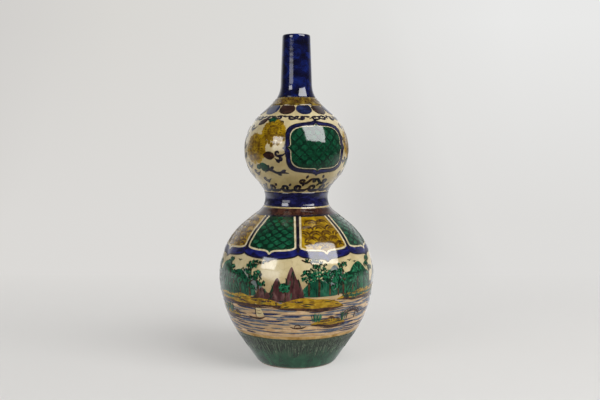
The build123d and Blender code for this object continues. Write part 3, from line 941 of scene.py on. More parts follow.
MEDALLION_TURN = 24.5
LATTICE_HALF = 36
FIELD_PITCH, FIELD_RISE = 11.0, 1.0
PANEL_PITCH, PANEL_RISE = 12.0, 0.8
field_low, field_high = heights_of("medallion_fields_green", MM)
field_middle = (field_low + field_high) / 2
panel_middle = (PANEL_EDGE[0][1] + panel_top) / 2
lattice_lines = Brushwork()
field_marks, panel_marks = [], []
for turn in (0, 180):
    lozenges(
        lattice_lines, field_marks, covered_by("medallion_fields_green"),
        MEDALLION_TURN + turn, field_middle, LATTICE_HALF, FIELD_PITCH, FIELD_RISE, OVER_ENAMEL,
    )
for turn in (0, 90, 180, 270):
    lozenges(
        lattice_lines, panel_marks, on_panel(PANEL_TURN + turn),
        PANEL_TURN + turn, panel_middle, LATTICE_HALF, PANEL_PITCH, PANEL_RISE, OVER_PANEL,
    )
lattice_lines.piece("lattice_lines", deep_green_line, "green_enamel")
dabs("panel_touches", panel_marks, panel_touch)
dabs("field_touches", field_marks, field_touch)

# Scallops on the yellow panels: rows of small brown arches, each with a smaller arch in it, drawn
# freely one above the other with a fine brush over the mustard enamel.
SCALLOP_ROWS = 7
SCALLOP_RISE = 5.6
SCALLOP_WIDTH = 14.0
ARCH_LINE, INNER_LINE = 2.4, 1.8
scallop_lines = Brushwork()
scallop_brown = enamel("scallop_brown", (52, 32, 8), (80, 54, 10), (108, 80, 16), 4 * MM)
ARCH = [(-7.4, -3.4), (-5.8, 0.6), (-1.2, 3.2), (4.2, 2.2), (7.4, -2.4)]
INNER_ARCH = [(-4.2, -2.6), (-1.4, 0.3), (1.8, 0.1), (4.2, -2.4)]
for turn in (45, 135, 225, 315):
    test = on_panel(PANEL_TURN + turn)
    for row in range(SCALLOP_ROWS):
        height = PANEL_EDGE[0][1] + 3.5 + row * SCALLOP_RISE
        for column in range(-3, 4):
            spread = math.degrees(SCALLOP_WIDTH / (float(radius_at(height * MM)) / MM))
            angle = PANEL_TURN + turn + (column + row % 2 / 2) * spread + chance.uniform(-0.8, 0.8)
            for motif, width in ((ARCH, ARCH_LINE), (INNER_ARCH, INNER_LINE)):
                arch = placed(motif, angle, height + chance.uniform(-0.5, 0.5), chance.uniform(0.85, 1.1))
                for run in inside_runs(arch, test, 0.8):
                    scallop_lines.line(run, width * chance.uniform(0.8, 1.4), OVER_PANEL)
scallop_lines.piece("scallop_lines", scallop_brown, "aubergine_enamel")

# Flower strokes: brown strokes that run from each flower's heart to its rim, and loose petals of the
# same mustard that ruffle the rim and hang lower on the upper flower. Loose leaves lie round them.
# Flowers, as degrees, mm up, degrees wide, and how far their lower petals hang.
FLOWERS = [(-50.5, 250.2, 28.0, 0.06), (-27.5, 269.7, 25.0, 0.42), (78.5, 255.9, 26.0, 0.06)]
STROKES_OF_FLOWER = 27
PETALS_OF_FLOWER = 28
flower_brown = enamel("flower_brown", (70, 44, 8), (98, 70, 10), (122, 92, 16), 4 * MM)
on_flower = covered_by("flowers_yellow_enamel")
flower_marks, petal_marks = [], []


def from_heart(out, heading, angle, height):
    """Place out mm from a flower's heart, on a heading."""
    return placed([(out * math.cos(heading), out * math.sin(heading))], angle, height)[0]


for turn in (0, 180):
    for angle, height, span, droop in FLOWERS:
        reach = float(radius_at(height * MM)) / MM * math.sin(math.radians(span / 2))
        for stroke in range(STROKES_OF_FLOWER):
            tilt = stroke * 360 / STROKES_OF_FLOWER + chance.uniform(-3, 3)
            for share, length in ((0.82, 0.24), (0.5, 0.3), (0.22, 0.16)):
                if share < 0.4 and stroke % 3:
                    continue
                out = reach * (share + chance.uniform(-0.05, 0.05))
                heading = math.radians(tilt)
                spot = from_heart(out, heading, angle + turn, height)
                if on_flower(*spot, 0.6):
                    width = chance.uniform(0.8, 1.6)
                    flower_marks.append((*spot, tilt, reach * length, width, OVER_ENAMEL))
        for petal in range(2 * PETALS_OF_FLOWER):
            heading = math.radians(petal * 360 / PETALS_OF_FLOWER + chance.uniform(-4, 4))
            hang = droop * max(0.0, math.cos(heading + math.radians(70))) * (1 if petal % 2 else 0.45)
            out = reach * (0.98 + hang + chance.uniform(-0.03, 0.05))
            spot = from_heart(out, heading, angle + turn, height)
            length, width = chance.uniform(5.0, 7.0), chance.uniform(3.0, 4.2)
            petal_marks.append((*spot, math.degrees(heading), length, width, 0.0))
            if hang > 0.1:
                flower_marks.append((*spot, math.degrees(heading) + 20, 4.0, 0.7, 0.05))
dabs("flower_strokes", flower_marks, flower_brown)
dabs("flower_petals", petal_marks, mustard)
# Leaves, as colour, degrees, mm up, tilt, mm long and mm wide.
LOOSE_LEAVES = [
    ("aubergine", -50.0, 279.0, 35, 10.0, 6.4), ("aubergine", -27.5, 241.5, 60, 9.0, 6.0),
    ("aubergine", -34.0, 242.5, -10, 8.0, 5.5), ("green", -31.5, 281.2, 15, 9.0, 6.6),
    ("green", -47.0, 229.5, 20, 9.0, 6.0), ("green", -41.0, 227.5, -50, 8.0, 5.0),
    ("green", 72.0, 232.5, 70, 9.0, 5.5), ("aubergine", 93.0, 271.0, -60, 9.0, 6.0),
]
leaf_marks = {"aubergine": [], "green": []}
for turn in (0, 180):
    for colour, angle, height, tilt, length, width in LOOSE_LEAVES:
        leaf_marks[colour].append((angle + turn, height, tilt, length, width, 0.1))
dabs("loose_aubergine_leaves", leaf_marks["aubergine"], aubergine)
dabs("loose_green_leaves", leaf_marks["green"], green)

# Scrolls: free black curls between the ornaments, drawn with a pointed brush: a running scroll above
# the waist and another under the petals, and sprigs, hooks and double curls round the sprays.


def curl(size, turns, start, tail):
    """Spiral that opens from its eye, with a tail, in mm."""
    points = []
    count = max(6, int(turns * 9))
    for step in range(count + 1):
        share = step / count
        reach = size * (0.22 + 0.78 * share)
        heading = math.radians(start + 360 * turns * (share - 1))
        points.append((reach * math.cos(heading), reach * math.sin(heading)))
    return points + list(tail)


WAVE_CURL = curl(3.3, 1.15, -60, [(4.6, -2.6), (7.4, -1.2), (9.8, 1.4)])
HOOK = curl(2.2, 0.9, -80, [(2.6, -1.9), (5.0, -1.2), (7.2, 0.9)])
DOUBLE_CURL = curl(
    2.9, 1.05, -90,
    [(3.4, -2.6), (5.8, -0.4), (8.2, 2.4), (11.2, 2.4), (12.4, 0.2), (10.8, -1.2), (9.4, -0.2)],
)
SPRIG = [(-14, -3), (-9, 0.5), (-4, -0.5), (1, -3.0), (7, -2.6), (14, -3.4)]
SPRIG_LEAVES = [(-9, 3.4, 70), (-4.5, 2.6, 30), (-12, 1.2, 120), (3.5, -4.6, -35), (9, -1.0, 25)]
WAIST_CURLS = 17
PETAL_HOOKS = 22
CURL_LINE, SPRIG_LINE, LOOSE_LINE, HOOK_LINE, STEM_LINE = 3.6, 3.3, 2.8, 2.7, 1.9
DOUBLE_CURL_HEIGHT = 213.5
scroll_lines = Brushwork()
scroll_marks = []
waist_top = heights_of("waist_blue_enamel", MM)[1]
petal_low = heights_of("petals_blue_enamel", MM)[0]
for index in range(WAIST_CURLS):
    angle = index * 360 / WAIST_CURLS + 4 + chance.uniform(-1.0, 1.0)
    height = waist_top + 5.8 + chance.uniform(-0.3, 0.3)
    scroll_lines.line(placed(WAVE_CURL, angle, height, 1.4), CURL_LINE, 0.0, (0.1, 0.3))
    scroll_marks.append((angle + 7.5, height + 3.6, 60, 5.4, 3.0, 0.0))
    scroll_marks.append((angle - 4.5, height - 3.3, -30, 5.0, 2.8, 0.0))
for index in range(PETAL_HOOKS):
    angle = index * 360 / PETAL_HOOKS + 9 + chance.uniform(-1.0, 1.0)
    height = petal_low - 3.6 + chance.uniform(-0.4, 0.4)
    hand = 1 if index % 2 else -1
    scroll_lines.line(placed(HOOK, angle, height, 1.2, hand), HOOK_LINE, 0.0, (0.12, 0.4))
    scroll_marks.append((angle + 8, height + 1.0, chance.uniform(-20, 60), 5.4, 2.8, 0.0))
    stem = [(angle + 8.2 * k, height + 1.6 * math.sin(2.1 * k + index)) for k in (-1, -0.5, 0, 0.5, 1)]
    scroll_lines.line(stem, STEM_LINE)
# Hooks, as degrees, mm up, size and hand.
LOOSE_HOOKS = [
    (-20, 245, 1.15, 1), (-17, 239, 0.8, -1), (-18.5, 279, 0.7, -1), (-65, 274, 1.1, 1),
    (-74, 266, 1.0, -1), (-56, 224, 1.0, 1), (66, 238, 1.0, -1), (70, 276, 1.0, 1), (87, 240, 1.2, 1),
    (-78, 254, 1.1, 1), (-72, 243, 1.0, -1), (-66, 232, 1.1, 1), (-70, 220, 1.0, -1), (-44, 216, 1.0, 1),
    (66, 222, 1.1, 1), (76, 214, 1.0, -1), (97, 262, 1.0, 1), (62, 262, 0.8, 1),
]
for turn in (0, 180):
    for angle, height, size, hand in LOOSE_HOOKS:
        hook = placed(HOOK, angle + turn, height, 1.2 * size, hand)
        scroll_lines.line(hook, LOOSE_LINE, 0.0, (0.12, 0.35))
        scroll_marks.append((angle + turn + 3 * hand, height - 3, 40 * hand, 5.4, 3.0, 0.0))
    for angle, height, hand in ((-24, 226, 1), (88, 224, -1)):
        scroll_lines.line(placed(SPRIG, angle + turn, height, 1.1, hand), SPRIG_LINE)
        for right, up, tilt in SPRIG_LEAVES:
            spot = placed([(right, up)], angle + turn, height, 1.0, hand)[0]
            scroll_marks.append((*spot, tilt * hand, 7.0, 3.8, 0.0))
    for angle, hand in ((9, 1), (41, -1)):
        double_curl = placed(DOUBLE_CURL, angle + turn, DOUBLE_CURL_HEIGHT, 1.15, hand)
        scroll_lines.line(double_curl, CURL_LINE, 0.0, (0.1, 0.2))
        leaf_height = DOUBLE_CURL_HEIGHT + 5
        scroll_marks.append((angle + turn + 5 * hand, leaf_height, 70 * hand, 5.6, 3.0, 0.0))
scroll_lines.piece("scroll_lines", line_black, "blue_enamel")
dabs("scroll_leaves", scroll_marks, line_black)

# Lakeside: a plain view of hills and water brushed freely round the belly, in washes under strokes:
# far mountains, crags, green hills, ochre banks with trees, a footbridge, two boats, reeds and rocks.
UNDER, MIDDLE, OVER = 0.0, 0.1, 0.2
RIDGE_LINE = 1.2
BANK_LINE, RIPPLE_LINE = 3.0, 1.3
DECK_LINE, RAIL_LINE, POST_LINE, PIER_LINE = 2.2, 0.9, 0.7, 1.4
RAIL_RISE = 3.4
MAST_LINE, BATTEN_LINE, AWNING_LINE = 0.9, 0.6, 1.3
misty_blue = enamel("misty_blue_wash", (84, 98, 104), (116, 124, 122), (150, 150, 138), 9 * MM)
hill_green = enamel("hill_green_wash", (2, 42, 25), (7, 70, 42), (28, 106, 68), 5 * MM, (1, 1, 0.3))
far_green = enamel("far_green_wash", (8, 50, 36), (18, 72, 52), (50, 104, 80), 6 * MM, (1, 1, 0.4))
bank_ochre = enamel("bank_ochre_wash", (112, 80, 8), (158, 122, 14), (188, 154, 42), 6 * MM, (1, 1, 2))
crag = enamel("crag_wash", (48, 22, 24), (76, 44, 44), (116, 84, 80), 6 * MM, (1, 1, 0.5))
earth = enamel("earth_stroke", (38, 20, 14), (62, 36, 22), (92, 60, 38), 5 * MM)
dark_leaf = enamel("dark_foliage", (4, 28, 18), (8, 42, 27), (18, 62, 40), 4 * MM)
bright_leaf = enamel("bright_foliage", (10, 66, 42), (22, 90, 60), (52, 120, 86), 4 * MM)
water_grey = enamel("grey_water", (54, 64, 86), (84, 92, 106), (124, 124, 122), 7 * MM)
water_navy = enamel("navy_water", (22, 28, 56), (36, 44, 78), (68, 74, 100), 7 * MM)
water_peach = enamel("peach_water", (184, 144, 98), (204, 168, 124), (218, 190, 152), 7 * MM)
sailcloth = enamel("pale_sail", (176, 156, 110), (200, 182, 138), (216, 204, 168), 5 * MM)
mountain_wash, far_wash, hill_wash, bank_wash, crag_wash = (Brushwork() for _ in range(5))
earth_lines, contour_lines, sail_wash = Brushwork(), Brushwork(), Brushwork()
dark_marks, bright_marks, ochre_marks, earth_marks = [], [], [], []
HILL = [
    (-0.5, 0), (-0.43, 0.36), (-0.24, 0.84), (0.0, 1.0), (0.2, 0.8), (0.4, 0.42), (0.5, 0),
    (0.2, -0.07), (-0.2, -0.07),
]
PEAK = [
    (-0.5, 0), (-0.3, 0.42), (-0.12, 0.86), (0.0, 1.0), (0.1, 0.84), (0.22, 0.62), (0.3, 0.6),
    (0.5, 0), (0, -0.07),
]
# Pads of foliage, as shares of the tree's size to the right, up, wide and high, and the number of dabs.
ROUND_CROWN = [(0, 0.78, 0.32, 0.27, 90)]
PAD_CROWN = [
    (-0.2, 0.42, 0.25, 0.08, 26), (0.2, 0.58, 0.25, 0.08, 26),
    (-0.16, 0.76, 0.23, 0.08, 26), (0.02, 0.95, 0.2, 0.09, 26),
]
HULL = [(-9, 0.8), (-6, -1.4), (0, -2.2), (6, -1.6), (11, 1.8), (6, 0.4), (0, 0.0), (-5, 0.1)]
SAIL = [(1, 15), (1, 8), (1, 2), (5, 1.6), (9, 2.4), (7.4, 8), (4.4, 13)]
AWNING = [(-4, -0.2), (-3, 2.6), (0, 3.8), (3, 2.6), (4, -0.2)]
LUMP = [(-4, 0), (-3, 2.6), (-0.5, 4.2), (2.4, 3.2), (4.2, 0.6), (3, -0.6), (-2.5, -0.8)]
WINGS = [(-3.4, 1.0), (-1.5, 1.4), (0, 0), (1.6, 1.5), (3.6, 0.8)]


def scaled(points, width, height):
    """Outline given in shares of its width and height, in mm."""
    return [(width * right, height * up) for right, up in points]


def hill(wash, outline, angle, foot, width, height, base, strokes):
    """Hill or mountain: a wash, ridge lines that run down its slopes, and strokes of grass on it."""
    wash.wash(placed(scaled(outline, width, height), angle, foot), base)
    for share in (-0.24, 0.04, 0.26):
        top = 0.92 - 2.2 * share * share - abs(share) * 0.5
        ridge = [(share, top), (share + 0.05, top * 0.7), (share * 1.35 + 0.02, top * 0.4)]
        path = placed(scaled(ridge, width, height), angle, foot)
        contour_lines.line(path, RIDGE_LINE, base + 0.05, (0.2, 0.7))
    for _ in range(strokes):
        share = chance.uniform(-0.44, 0.44)
        up = chance.uniform(0.06, 0.82) * (1 - (share / 0.55) ** 2)
        spot = placed(scaled([(share, up)], width, height), angle, foot)[0]
        marks = bright_marks if chance.random() < 0.4 else dark_marks
        tilt = 90 + 70 * share + chance.uniform(-14, 14)
        length, breadth = chance.uniform(4, 9), chance.uniform(0.7, 1.3)
        marks.append((*spot, tilt, length, breadth, base + 0.1))


def lake_tree(angle, foot, size, crown):
    """Tree: a trunk with branches, and a round crown or flat pads of foliage."""
    lean = chance.uniform(-0.08, 0.08) * size
    trunk = [(0, 0), (lean, 0.4 * size), (-lean, 0.75 * size), (lean / 2, size)]
    earth_lines.line(placed(trunk, angle, foot), 0.07 * size, OVER, (0.05, 0.6))
    for right, up, wide, high, count in crown:
        limb = scaled([(0, up - 0.14), (right * 0.6, up - 0.07), (right, up)], size, size)
        earth_lines.line(placed(limb, angle, foot), 0.035 * size, OVER, (0.1, 0.6))
        for index in range(count):
            heading, out = chance.uniform(0, 2 * math.pi), math.sqrt(chance.random())
            x = (right + wide * out * math.cos(heading)) * size
            y = (up + high * out * math.sin(heading)) * size
            spot = placed([(x, y)], angle, foot)[0]
            tilt = 90 + chance.uniform(-35, 35) if crown is PAD_CROWN else chance.uniform(0, 180)
            marks, base = (bright_marks, OVER + 0.08) if index % 4 == 3 else (dark_marks, OVER + 0.04)
            marks.append((*spot, tilt, chance.uniform(2.4, 4.0), chance.uniform(1.1, 1.8), base))


def bank(start, end, height, depth):
    """Low bank: an ochre wash with a broken brown edge under it and strokes along it."""
    angles = np.linspace(start, end, max(5, int((end - start) / 6)))
    swell = [math.sin(math.pi * i / (len(angles) - 1)) ** 0.5 for i in range(len(angles))]
    upper = [(a, height + depth * s * chance.uniform(0.75, 1.0)) for a, s in zip(angles, swell)]
    lower = [(a, height - 1.5 * s * chance.uniform(0.4, 1.4)) for a, s in zip(angles, swell)]
    bank_wash.wash(upper[:-1] + lower[:0:-1], MIDDLE)
    earth_lines.line([(a, h - 0.4) for a, h in lower], BANK_LINE, OVER, (0.25, 0.25))
    middle = len(lower) // 2
    ripple = [(a, h - 2.6) for a, h in lower[middle - 1:]]
    earth_lines.line(ripple, RIPPLE_LINE, OVER, (0.3, 0.5))
    for _ in range(int((end - start) / 2.2)):
        angle, up = chance.uniform(start + 4, end - 4), chance.uniform(0.5, depth * 0.7)
        marks = chance.choice([ochre_marks, ochre_marks, earth_marks, dark_marks])
        tilt, length, width = chance.uniform(-12, 12), chance.uniform(5, 12), chance.uniform(0.8, 1.5)
        marks.append((angle, height + up, tilt, length, width, OVER))


def bridge(angle, foot, span, rise):
    """Arched footbridge with a rail on posts."""
    places = [-0.5, -0.3, 0.0, 0.3, 0.5]
    for lift, width in ((0.0, DECK_LINE), (RAIL_RISE, RAIL_LINE)):
        deck = [(share * span, lift + rise * (1 - (2 * share) ** 2)) for share in places]
        earth_lines.line(placed(deck, angle, foot), width, OVER, (0.05, 0.05))
    for index in range(9):
        share = -0.46 + 0.115 * index
        up = rise * (1 - (2 * share) ** 2)
        posts = [(POST_LINE, (up, up + 1.9, up + 3.8))]
        if index in (2, 6):
            posts.append((PIER_LINE, (up, up / 2 - 2, -5)))
        for width, heights in posts:
            post = [(share * span, height) for height in heights]
            earth_lines.line(placed(post, angle, foot), width, OVER)


def boat(angle, height, size, hand, sail):
    """Small boat with a curved hull: a mast and a pale sail if it is under way, or else an awning."""
    at = (angle, height, size, hand)
    earth_lines.wash(placed(HULL, *at), MIDDLE, 1.5)
    if sail:
        sail_wash.wash(placed(SAIL, *at), MIDDLE, 2.0)
        earth_lines.line(placed([(0, 0), (0.2, 8), (0, 16.5)], *at), MAST_LINE, OVER)
        for up in (5, 8.5, 12):
            batten = [(1, up), (4, up - 0.6), (8.2 - 0.25 * up, up)]
            earth_lines.line(placed(batten, *at), BATTEN_LINE, OVER)
    else:
        earth_lines.line(placed(AWNING, *at), AWNING_LINE, OVER)


def reeds(angle, height, count):
    """Clump of reeds that fan out from the water."""
    for _ in range(count):
        side = chance.uniform(-1, 1)
        length = chance.uniform(6, 13)
        spot = placed([(side * 5, length / 2 - 1)], angle, height)[0]
        marks = chance.choice([dark_marks, bright_marks])
        marks.append((*spot, 90 - 22 * side, length, chance.uniform(0.7, 1.1), OVER))


def rock(angle, height, size):
    """Rounded rock with a crack."""
    earth_lines.wash(placed(LUMP, angle, height, size), MIDDLE, 1.5)
    contour_lines.line(placed([(-1, 3.6), (0.4, 1.8), (0, -0.2)], angle, height, size), 0.8, OVER)


def pine_branch(angle, height, size, hand):
    """Pine branch that hangs into the view from above, with tufts of needles."""
    at = (angle, height, size, hand)
    earth_lines.line(placed([(0, 3), (7, 0), (15, 0.6), (24, -4)], *at), 1.5, OVER, (0.05, 0.6))
    earth_lines.line(placed([(9, 0), (13, -4), (17, -6)], *at), 1.0, OVER, (0.1, 0.6))
    for right, up in ((6, 1), (12, 1), (17, 1), (22, -2), (25, -4), (14, -4), (18, -6)):
        for _ in range(6):
            tuft = (right + chance.uniform(-2.4, 2.4), up + chance.uniform(-0.8, 1.8))
            tilt = 90 + chance.uniform(-40, 40)
            length, width = chance.uniform(2.6, 4.2), chance.uniform(1.0, 1.6)
            dark_marks.append((*placed([tuft], *at)[0], tilt, length, width, OVER + 0.04))


# Places on the front, as degrees and mm up, with the width and height of hills, the size of trees and
# rocks, or the number of reeds. A bank has two ends in degrees, mm up and its depth.
MOUNTAINS = [(-38, 98, 44, 22), (29, 98, 52, 26), (85, 97, 46, 24), (-88, 97, 40, 20)]
CRAGS = [(-3, 88, 27, 36), (-13, 87, 26, 25), (-24, 86, 30, 15), (70, 88, 26, 12)]
FAR_HILLS = [(-44, 92, 46, 26), (42, 94, 44, 22), (16, 92, 44, 17)]
NEAR_HILLS = [(-60, 87, 54, 38), (52, 90, 54, 35), (-87, 88, 36, 20)]
BANKS = [(-82, -10, 82, 10), (-16, 36, 79, 12), (30, 94, 87, 9), (11, 41, 59, 7), (-74, -46, 65, 5)]
ROUND_TREES = [
    (9, 92, 27), (16, 91, 33), (24, 92, 26), (-50, 95, 20), (-43, 92, 22), (88, 94, 18),
    (49, 98, 22), (44, 94, 18), (-8, 88, 17),
]
PAD_TREES = [
    (-34, 90, 36), (-28, 89, 28), (35, 92, 34), (31, 91, 24), (66, 98, 29), (-76, 93, 29), (-56, 108, 20),
]
REEDS = [(15, 63, 16), (38, 62, 9), (-58, 68, 16), (-66, 67, 10), (76, 82, 12), (46, 85, 10)]
ROCKS = [(27, 63, 1.3), (33, 62, 0.9), (-50, 68, 1.0), (-14, 80, 1.2), (38, 86, 1.1), (-72, 82, 1.2)]
BIRDS = [(43, 127, 1.0), (48, 125, 0.8), (-46, 127, 0.9)]
for side, hand in ((0, 1), (180, -1)):
    for wash, outline, base, strokes, places in (
        (mountain_wash, PEAK, UNDER, 0, MOUNTAINS), (far_wash, HILL, UNDER + 0.05, 14, FAR_HILLS),
        (crag_wash, PEAK, UNDER + 0.08, 4, CRAGS), (hill_wash, HILL, MIDDLE, 60, NEAR_HILLS),
    ):
        for angle, foot, width, height in places:
            hill(wash, outline, side + hand * angle, foot, width, height, base, strokes)
    for start, end, height, depth in BANKS:
        bank(*sorted((side + hand * start, side + hand * end)), height, depth)
    for crown, places in ((ROUND_CROWN, ROUND_TREES), (PAD_CROWN, PAD_TREES)):
        for angle, foot, size in places:
            lake_tree(side + hand * angle, foot, size, crown)
    bridge(side + hand * 46, foot=66, span=28, rise=6)
    boat(side - hand * 31, 66, 1.1, hand, sail=True)
    boat(side + hand * 1, 56, 0.9, hand, sail=False)
    pine_branch(side + hand * 4, 128, 1.0, hand)
    pine_branch(side - hand * 22, 126.5, 0.9, -hand)
    for angle, height, count in REEDS:
        reeds(side + hand * angle, height, count)
    for angle, height, size in ROCKS:
        rock(side + hand * angle, height, size)
    for angle, height, size in BIRDS:
        contour_lines.line(placed(WINGS, side + hand * angle, height, size), 0.9, OVER)
crag_wash.piece("lake_crags", crag, "aubergine_enamel")
mountain_wash.piece("lake_mountains", misty_blue, "blue_enamel")
far_wash.piece("lake_far_hills", far_green, "green_enamel")
hill_wash.piece("lake_hills", hill_green, "green_enamel")
bank_wash.piece("lake_banks", bank_ochre, "yellow_enamel")
sail_wash.piece("lake_sails", sailcloth, "ochre_enamel")
earth_lines.piece("lake_earth_lines", earth, "aubergine_enamel")
contour_lines.piece("lake_contours", dark_leaf, "green_enamel")
dabs("lake_dark_foliage", dark_marks, dark_leaf)
dabs("lake_bright_foliage", bright_marks, bright_leaf)
dabs("lake_ochre_strokes", ochre_marks, mustard)
dabs("lake_earth_strokes", earth_marks, earth)

# Water: level strokes of peach, grey and navy in rows, laid end to end with a pointed brush from the
# banks down to the ochre line, with bare glaze left between some of them.
WATER_ROWS = 15
WATER_LOW, WATER_PITCH = 46.6, 2.65
WATER_WEIGHTS = {"peach": 18, "grey": 40, "navy": 32, "bare": 10}
WATER_BASES = {"peach": UNDER, "grey": UNDER + 0.03, "navy": UNDER + 0.06}
water_marks = {"peach": [], "grey": [], "navy": []}
for row in range(WATER_ROWS):
    height = WATER_LOW + WATER_PITCH * row
    reach = float(radius_at(height * MM)) / MM
    angle = chance.uniform(0, 30)
    while angle < 375:
        colour = chance.choices(list(WATER_WEIGHTS), list(WATER_WEIGHTS.values()))[0]
        length = chance.uniform(14, 46)
        span = math.degrees(length / reach)
        if colour != "bare":
            spot = (angle + span / 2, height + chance.uniform(-0.8, 0.8))
            tilt, width = chance.uniform(-3, 3), chance.uniform(1.4, 2.8)
            water_marks[colour].append((*spot, tilt, length, width, WATER_BASES[colour]))
        angle += span * chance.uniform(0.6, 1.0)
dabs("lake_peach_water", water_marks["peach"], water_peach)
dabs("lake_grey_water", water_marks["grey"], water_grey)
dabs("lake_navy_water", water_marks["navy"], water_navy)

# Foot: deep green enamel over the whole foot, under a line of ochre. The upper part was brushed up
# and down with a second, darker coat.
OLIVE_FROM, OLIVE_TO = 14 * MM, 31 * MM
DARK_STROKES, PALE_STROKES = 300, 130


def foot_enamel():
    """Emerald low on the foot and dark olive above, streaked by the brush."""
    finish = Finish("foot_green_enamel", 0.12, GLAZE_GLOSS)
    clouds = finish.noise(11 * MM, 5.0, (1, 1, 0.6), 0.4)
    emerald = [(0.3, paint(14, 50, 34)), (0.5, paint(26, 78, 52)), (0.7, paint(46, 104, 72))]
    low = finish.ramp(clouds, emerald)
    streaks = finish.noise(2.2 * MM, 4.0, (1, 1, 0.12))
    olive = [(0.3, paint(34, 48, 36)), (0.5, paint(58, 68, 52)), (0.7, paint(86, 94, 76))]
    high = finish.ramp(streaks, olive)
    share = finish.spread(finish.along("Z"), OLIVE_FROM, OLIVE_TO, 0.0, 0.9)
    finish.relief(streaks, 0.02 * MM)
    return finish.coloured(finish.mixed(share, low, high))


ochre = enamel("ochre_enamel", (134, 100, 36), (172, 134, 70), (202, 168, 112), 11 * MM)
dark_olive = enamel("dark_olive_stroke", (20, 32, 24), (34, 46, 34), (54, 64, 50), 5 * MM)
pale_olive = enamel("pale_olive_stroke", (74, 92, 72), (92, 110, 88), (120, 132, 108), 5 * MM)
enamel_ring("foot_green_enamel", foot_enamel())
enamel_ring("foot_ochre_line", ochre)
foot_top = heights_of("foot_green_enamel", MM)[1]
for name, count, material in (
    ("foot_dark_strokes", DARK_STROKES, dark_olive), ("foot_pale_strokes", PALE_STROKES, pale_olive),
):
    foot_marks = []
    for index in range(count):
        length = chance.uniform(7, 22)
        height = foot_top - 0.8 - length / 2 - chance.uniform(0, 5)
        angle = (index + chance.uniform(-0.4, 0.4)) * 360 / count
        tilt, width = 90 + chance.uniform(-5, 5), chance.uniform(0.5, 1.1)
        foot_marks.append((angle, height, tilt, length, width, OVER_ENAMEL))
    dabs(name, foot_marks, material)

# Floor and backdrop: one pale sheet that curves up behind the vase. Its upper part is seen at a set tone
# with painted light, darker to the left and lighter high on the right, and with a painted shadow of the
# vase on its right.
SWEEP_WIDTH = 7.0
SWEEP_FRONT = -0.5
SWEEP_BACK = 1.6
SWEEP_ROUND = 0.8
SWEEP_TOP = 3.0
FLOOR_SHARE = 0.47
FADE = (0.05, 0.6)
# Place and stretch of the painted shadow of the vase on the backdrop.
PAINTED_SHADOW_PLACE = (0.21, 1.1, 0.08)
PAINTED_SHADOW_STRETCH = (4.6, 1.25, 1.25)


def grey(level):
    """Grey of a level from 0 to 1."""
    return (level, level, level, 1.0)


def pale_sheet():
    """Pale paper with painted light across it and a painted shadow right of the vase. In the glaze it
    fades to front and sides.
    """
    finish = Finish("pale_sheet", 0.95, 1.1)
    tone = finish.ramp(finish.noise(0.6, 2.0), [(0.3, paint(216, 214, 211)), (0.7, paint(220, 219, 217))])
    finish.coloured(tone)
    nodes = finish.tree.nodes
    rays = nodes.new("ShaderNodeLightPath")
    side, depth, height = (finish.along(axis) for axis in "XYZ")
    paper = nodes.new("ShaderNodeEmission")
    # Painted light: the paper seen by the camera is darker to the left and lighter to the right, most of
    # all high up.
    across = finish.spread(side, -0.9, 0.9, 0.0, 1.0)
    low = finish.ramp(
        across,
        [(0.0, paint(215, 213, 210)), (0.1, paint(219, 217, 214)), (1.0, paint(222, 221, 219))],
    )
    high = finish.ramp(
        across,
        [
            (0.0, paint(210, 208, 205)), (0.2, paint(217, 215, 211)),
            (0.5, paint(221, 220, 217)), (0.85, paint(233, 233, 232)),
        ],
    )
    colour = finish.mixed(finish.spread(height, *FADE, 0.0, 1.0), low, high)
    # Painted shadow of the vase on the paper to its right: the tone darkens towards grey round a
    # stretched spot.
    from_painted_shadow = nodes.new("ShaderNodeVectorMath")
    from_painted_shadow.operation = "DISTANCE"
    finish.link(finish.stretched(1.0, PAINTED_SHADOW_STRETCH), from_painted_shadow.inputs[0])
    from_painted_shadow.inputs[1].default_value = [
        place * stretch for place, stretch in zip(PAINTED_SHADOW_PLACE, PAINTED_SHADOW_STRETCH)
    ]
    painted_shadow = finish.ramp(
        from_painted_shadow.outputs["Value"],
        [(0.0, grey(0.3)), (0.3, grey(0.24)), (0.65, grey(0.08)), (1.0, grey(0.0))],
    )
    finish.link(finish.mixed(painted_shadow, colour, paint(168, 166, 164)), paper.inputs["Color"])
    share = nodes.new("ShaderNodeMath")
    share.operation = "MULTIPLY"
    finish.link(rays.outputs["Is Camera Ray"], share.inputs[0])
    finish.link(finish.spread(depth, *FADE, FLOOR_SHARE, 1.0), share.inputs[1])
    # Painted reflection: for rays that the glaze mirrors, the sheet glows at set levels instead of being
    # lit. It is dim at the front of the floor and at the sides, and dimmer in a band low behind the vase.
    mirrored = nodes.new("ShaderNodeEmission")
    sides = finish.spread(side, -2.4, 2.4, 0.0, 1.0)
    finish.link(
        finish.ramp(sides, [(0.0, grey(0.4)), (0.15, grey(1.0)), (0.7, grey(1.0)), (0.84, grey(0.35))]),
        mirrored.inputs["Color"],
    )
    near = finish.ramp(
        finish.spread(depth, SWEEP_FRONT, -SWEEP_FRONT, 0.0, 1.0),
        [(0.0, grey(0.02)), (0.2, grey(0.16)), (0.45, grey(0.42)), (0.8, grey(1.1))],
    )
    up = finish.ramp(
        finish.spread(height, 0.0, 1.5, 0.0, 1.0),
        [(0.0, grey(0.9)), (0.1, grey(0.3)), (0.19, grey(0.35)), (0.28, grey(1.0)), (0.8, grey(0.7))],
    )
    level = nodes.new("ShaderNodeMath")
    level.operation = "MULTIPLY"
    finish.link(near, level.inputs[0])
    finish.link(up, level.inputs[1])
    finish.link(level.outputs["Value"], mirrored.inputs["Strength"])
    shader = finish.surface.outputs["BSDF"]
    for factor, glow in ((share.outputs["Value"], paper), (rays.outputs["Is Glossy Ray"], mirrored)):
        blend = nodes.new("ShaderNodeMixShader")
        finish.link(factor, blend.inputs[0])
        finish.link(shader, blend.inputs[1])
        finish.link(glow.outputs["Emission"], blend.inputs[2])
        shader = blend.outputs["Shader"]
    finish.link(shader, nodes["Material Output"].inputs["Surface"])
    return finish.material


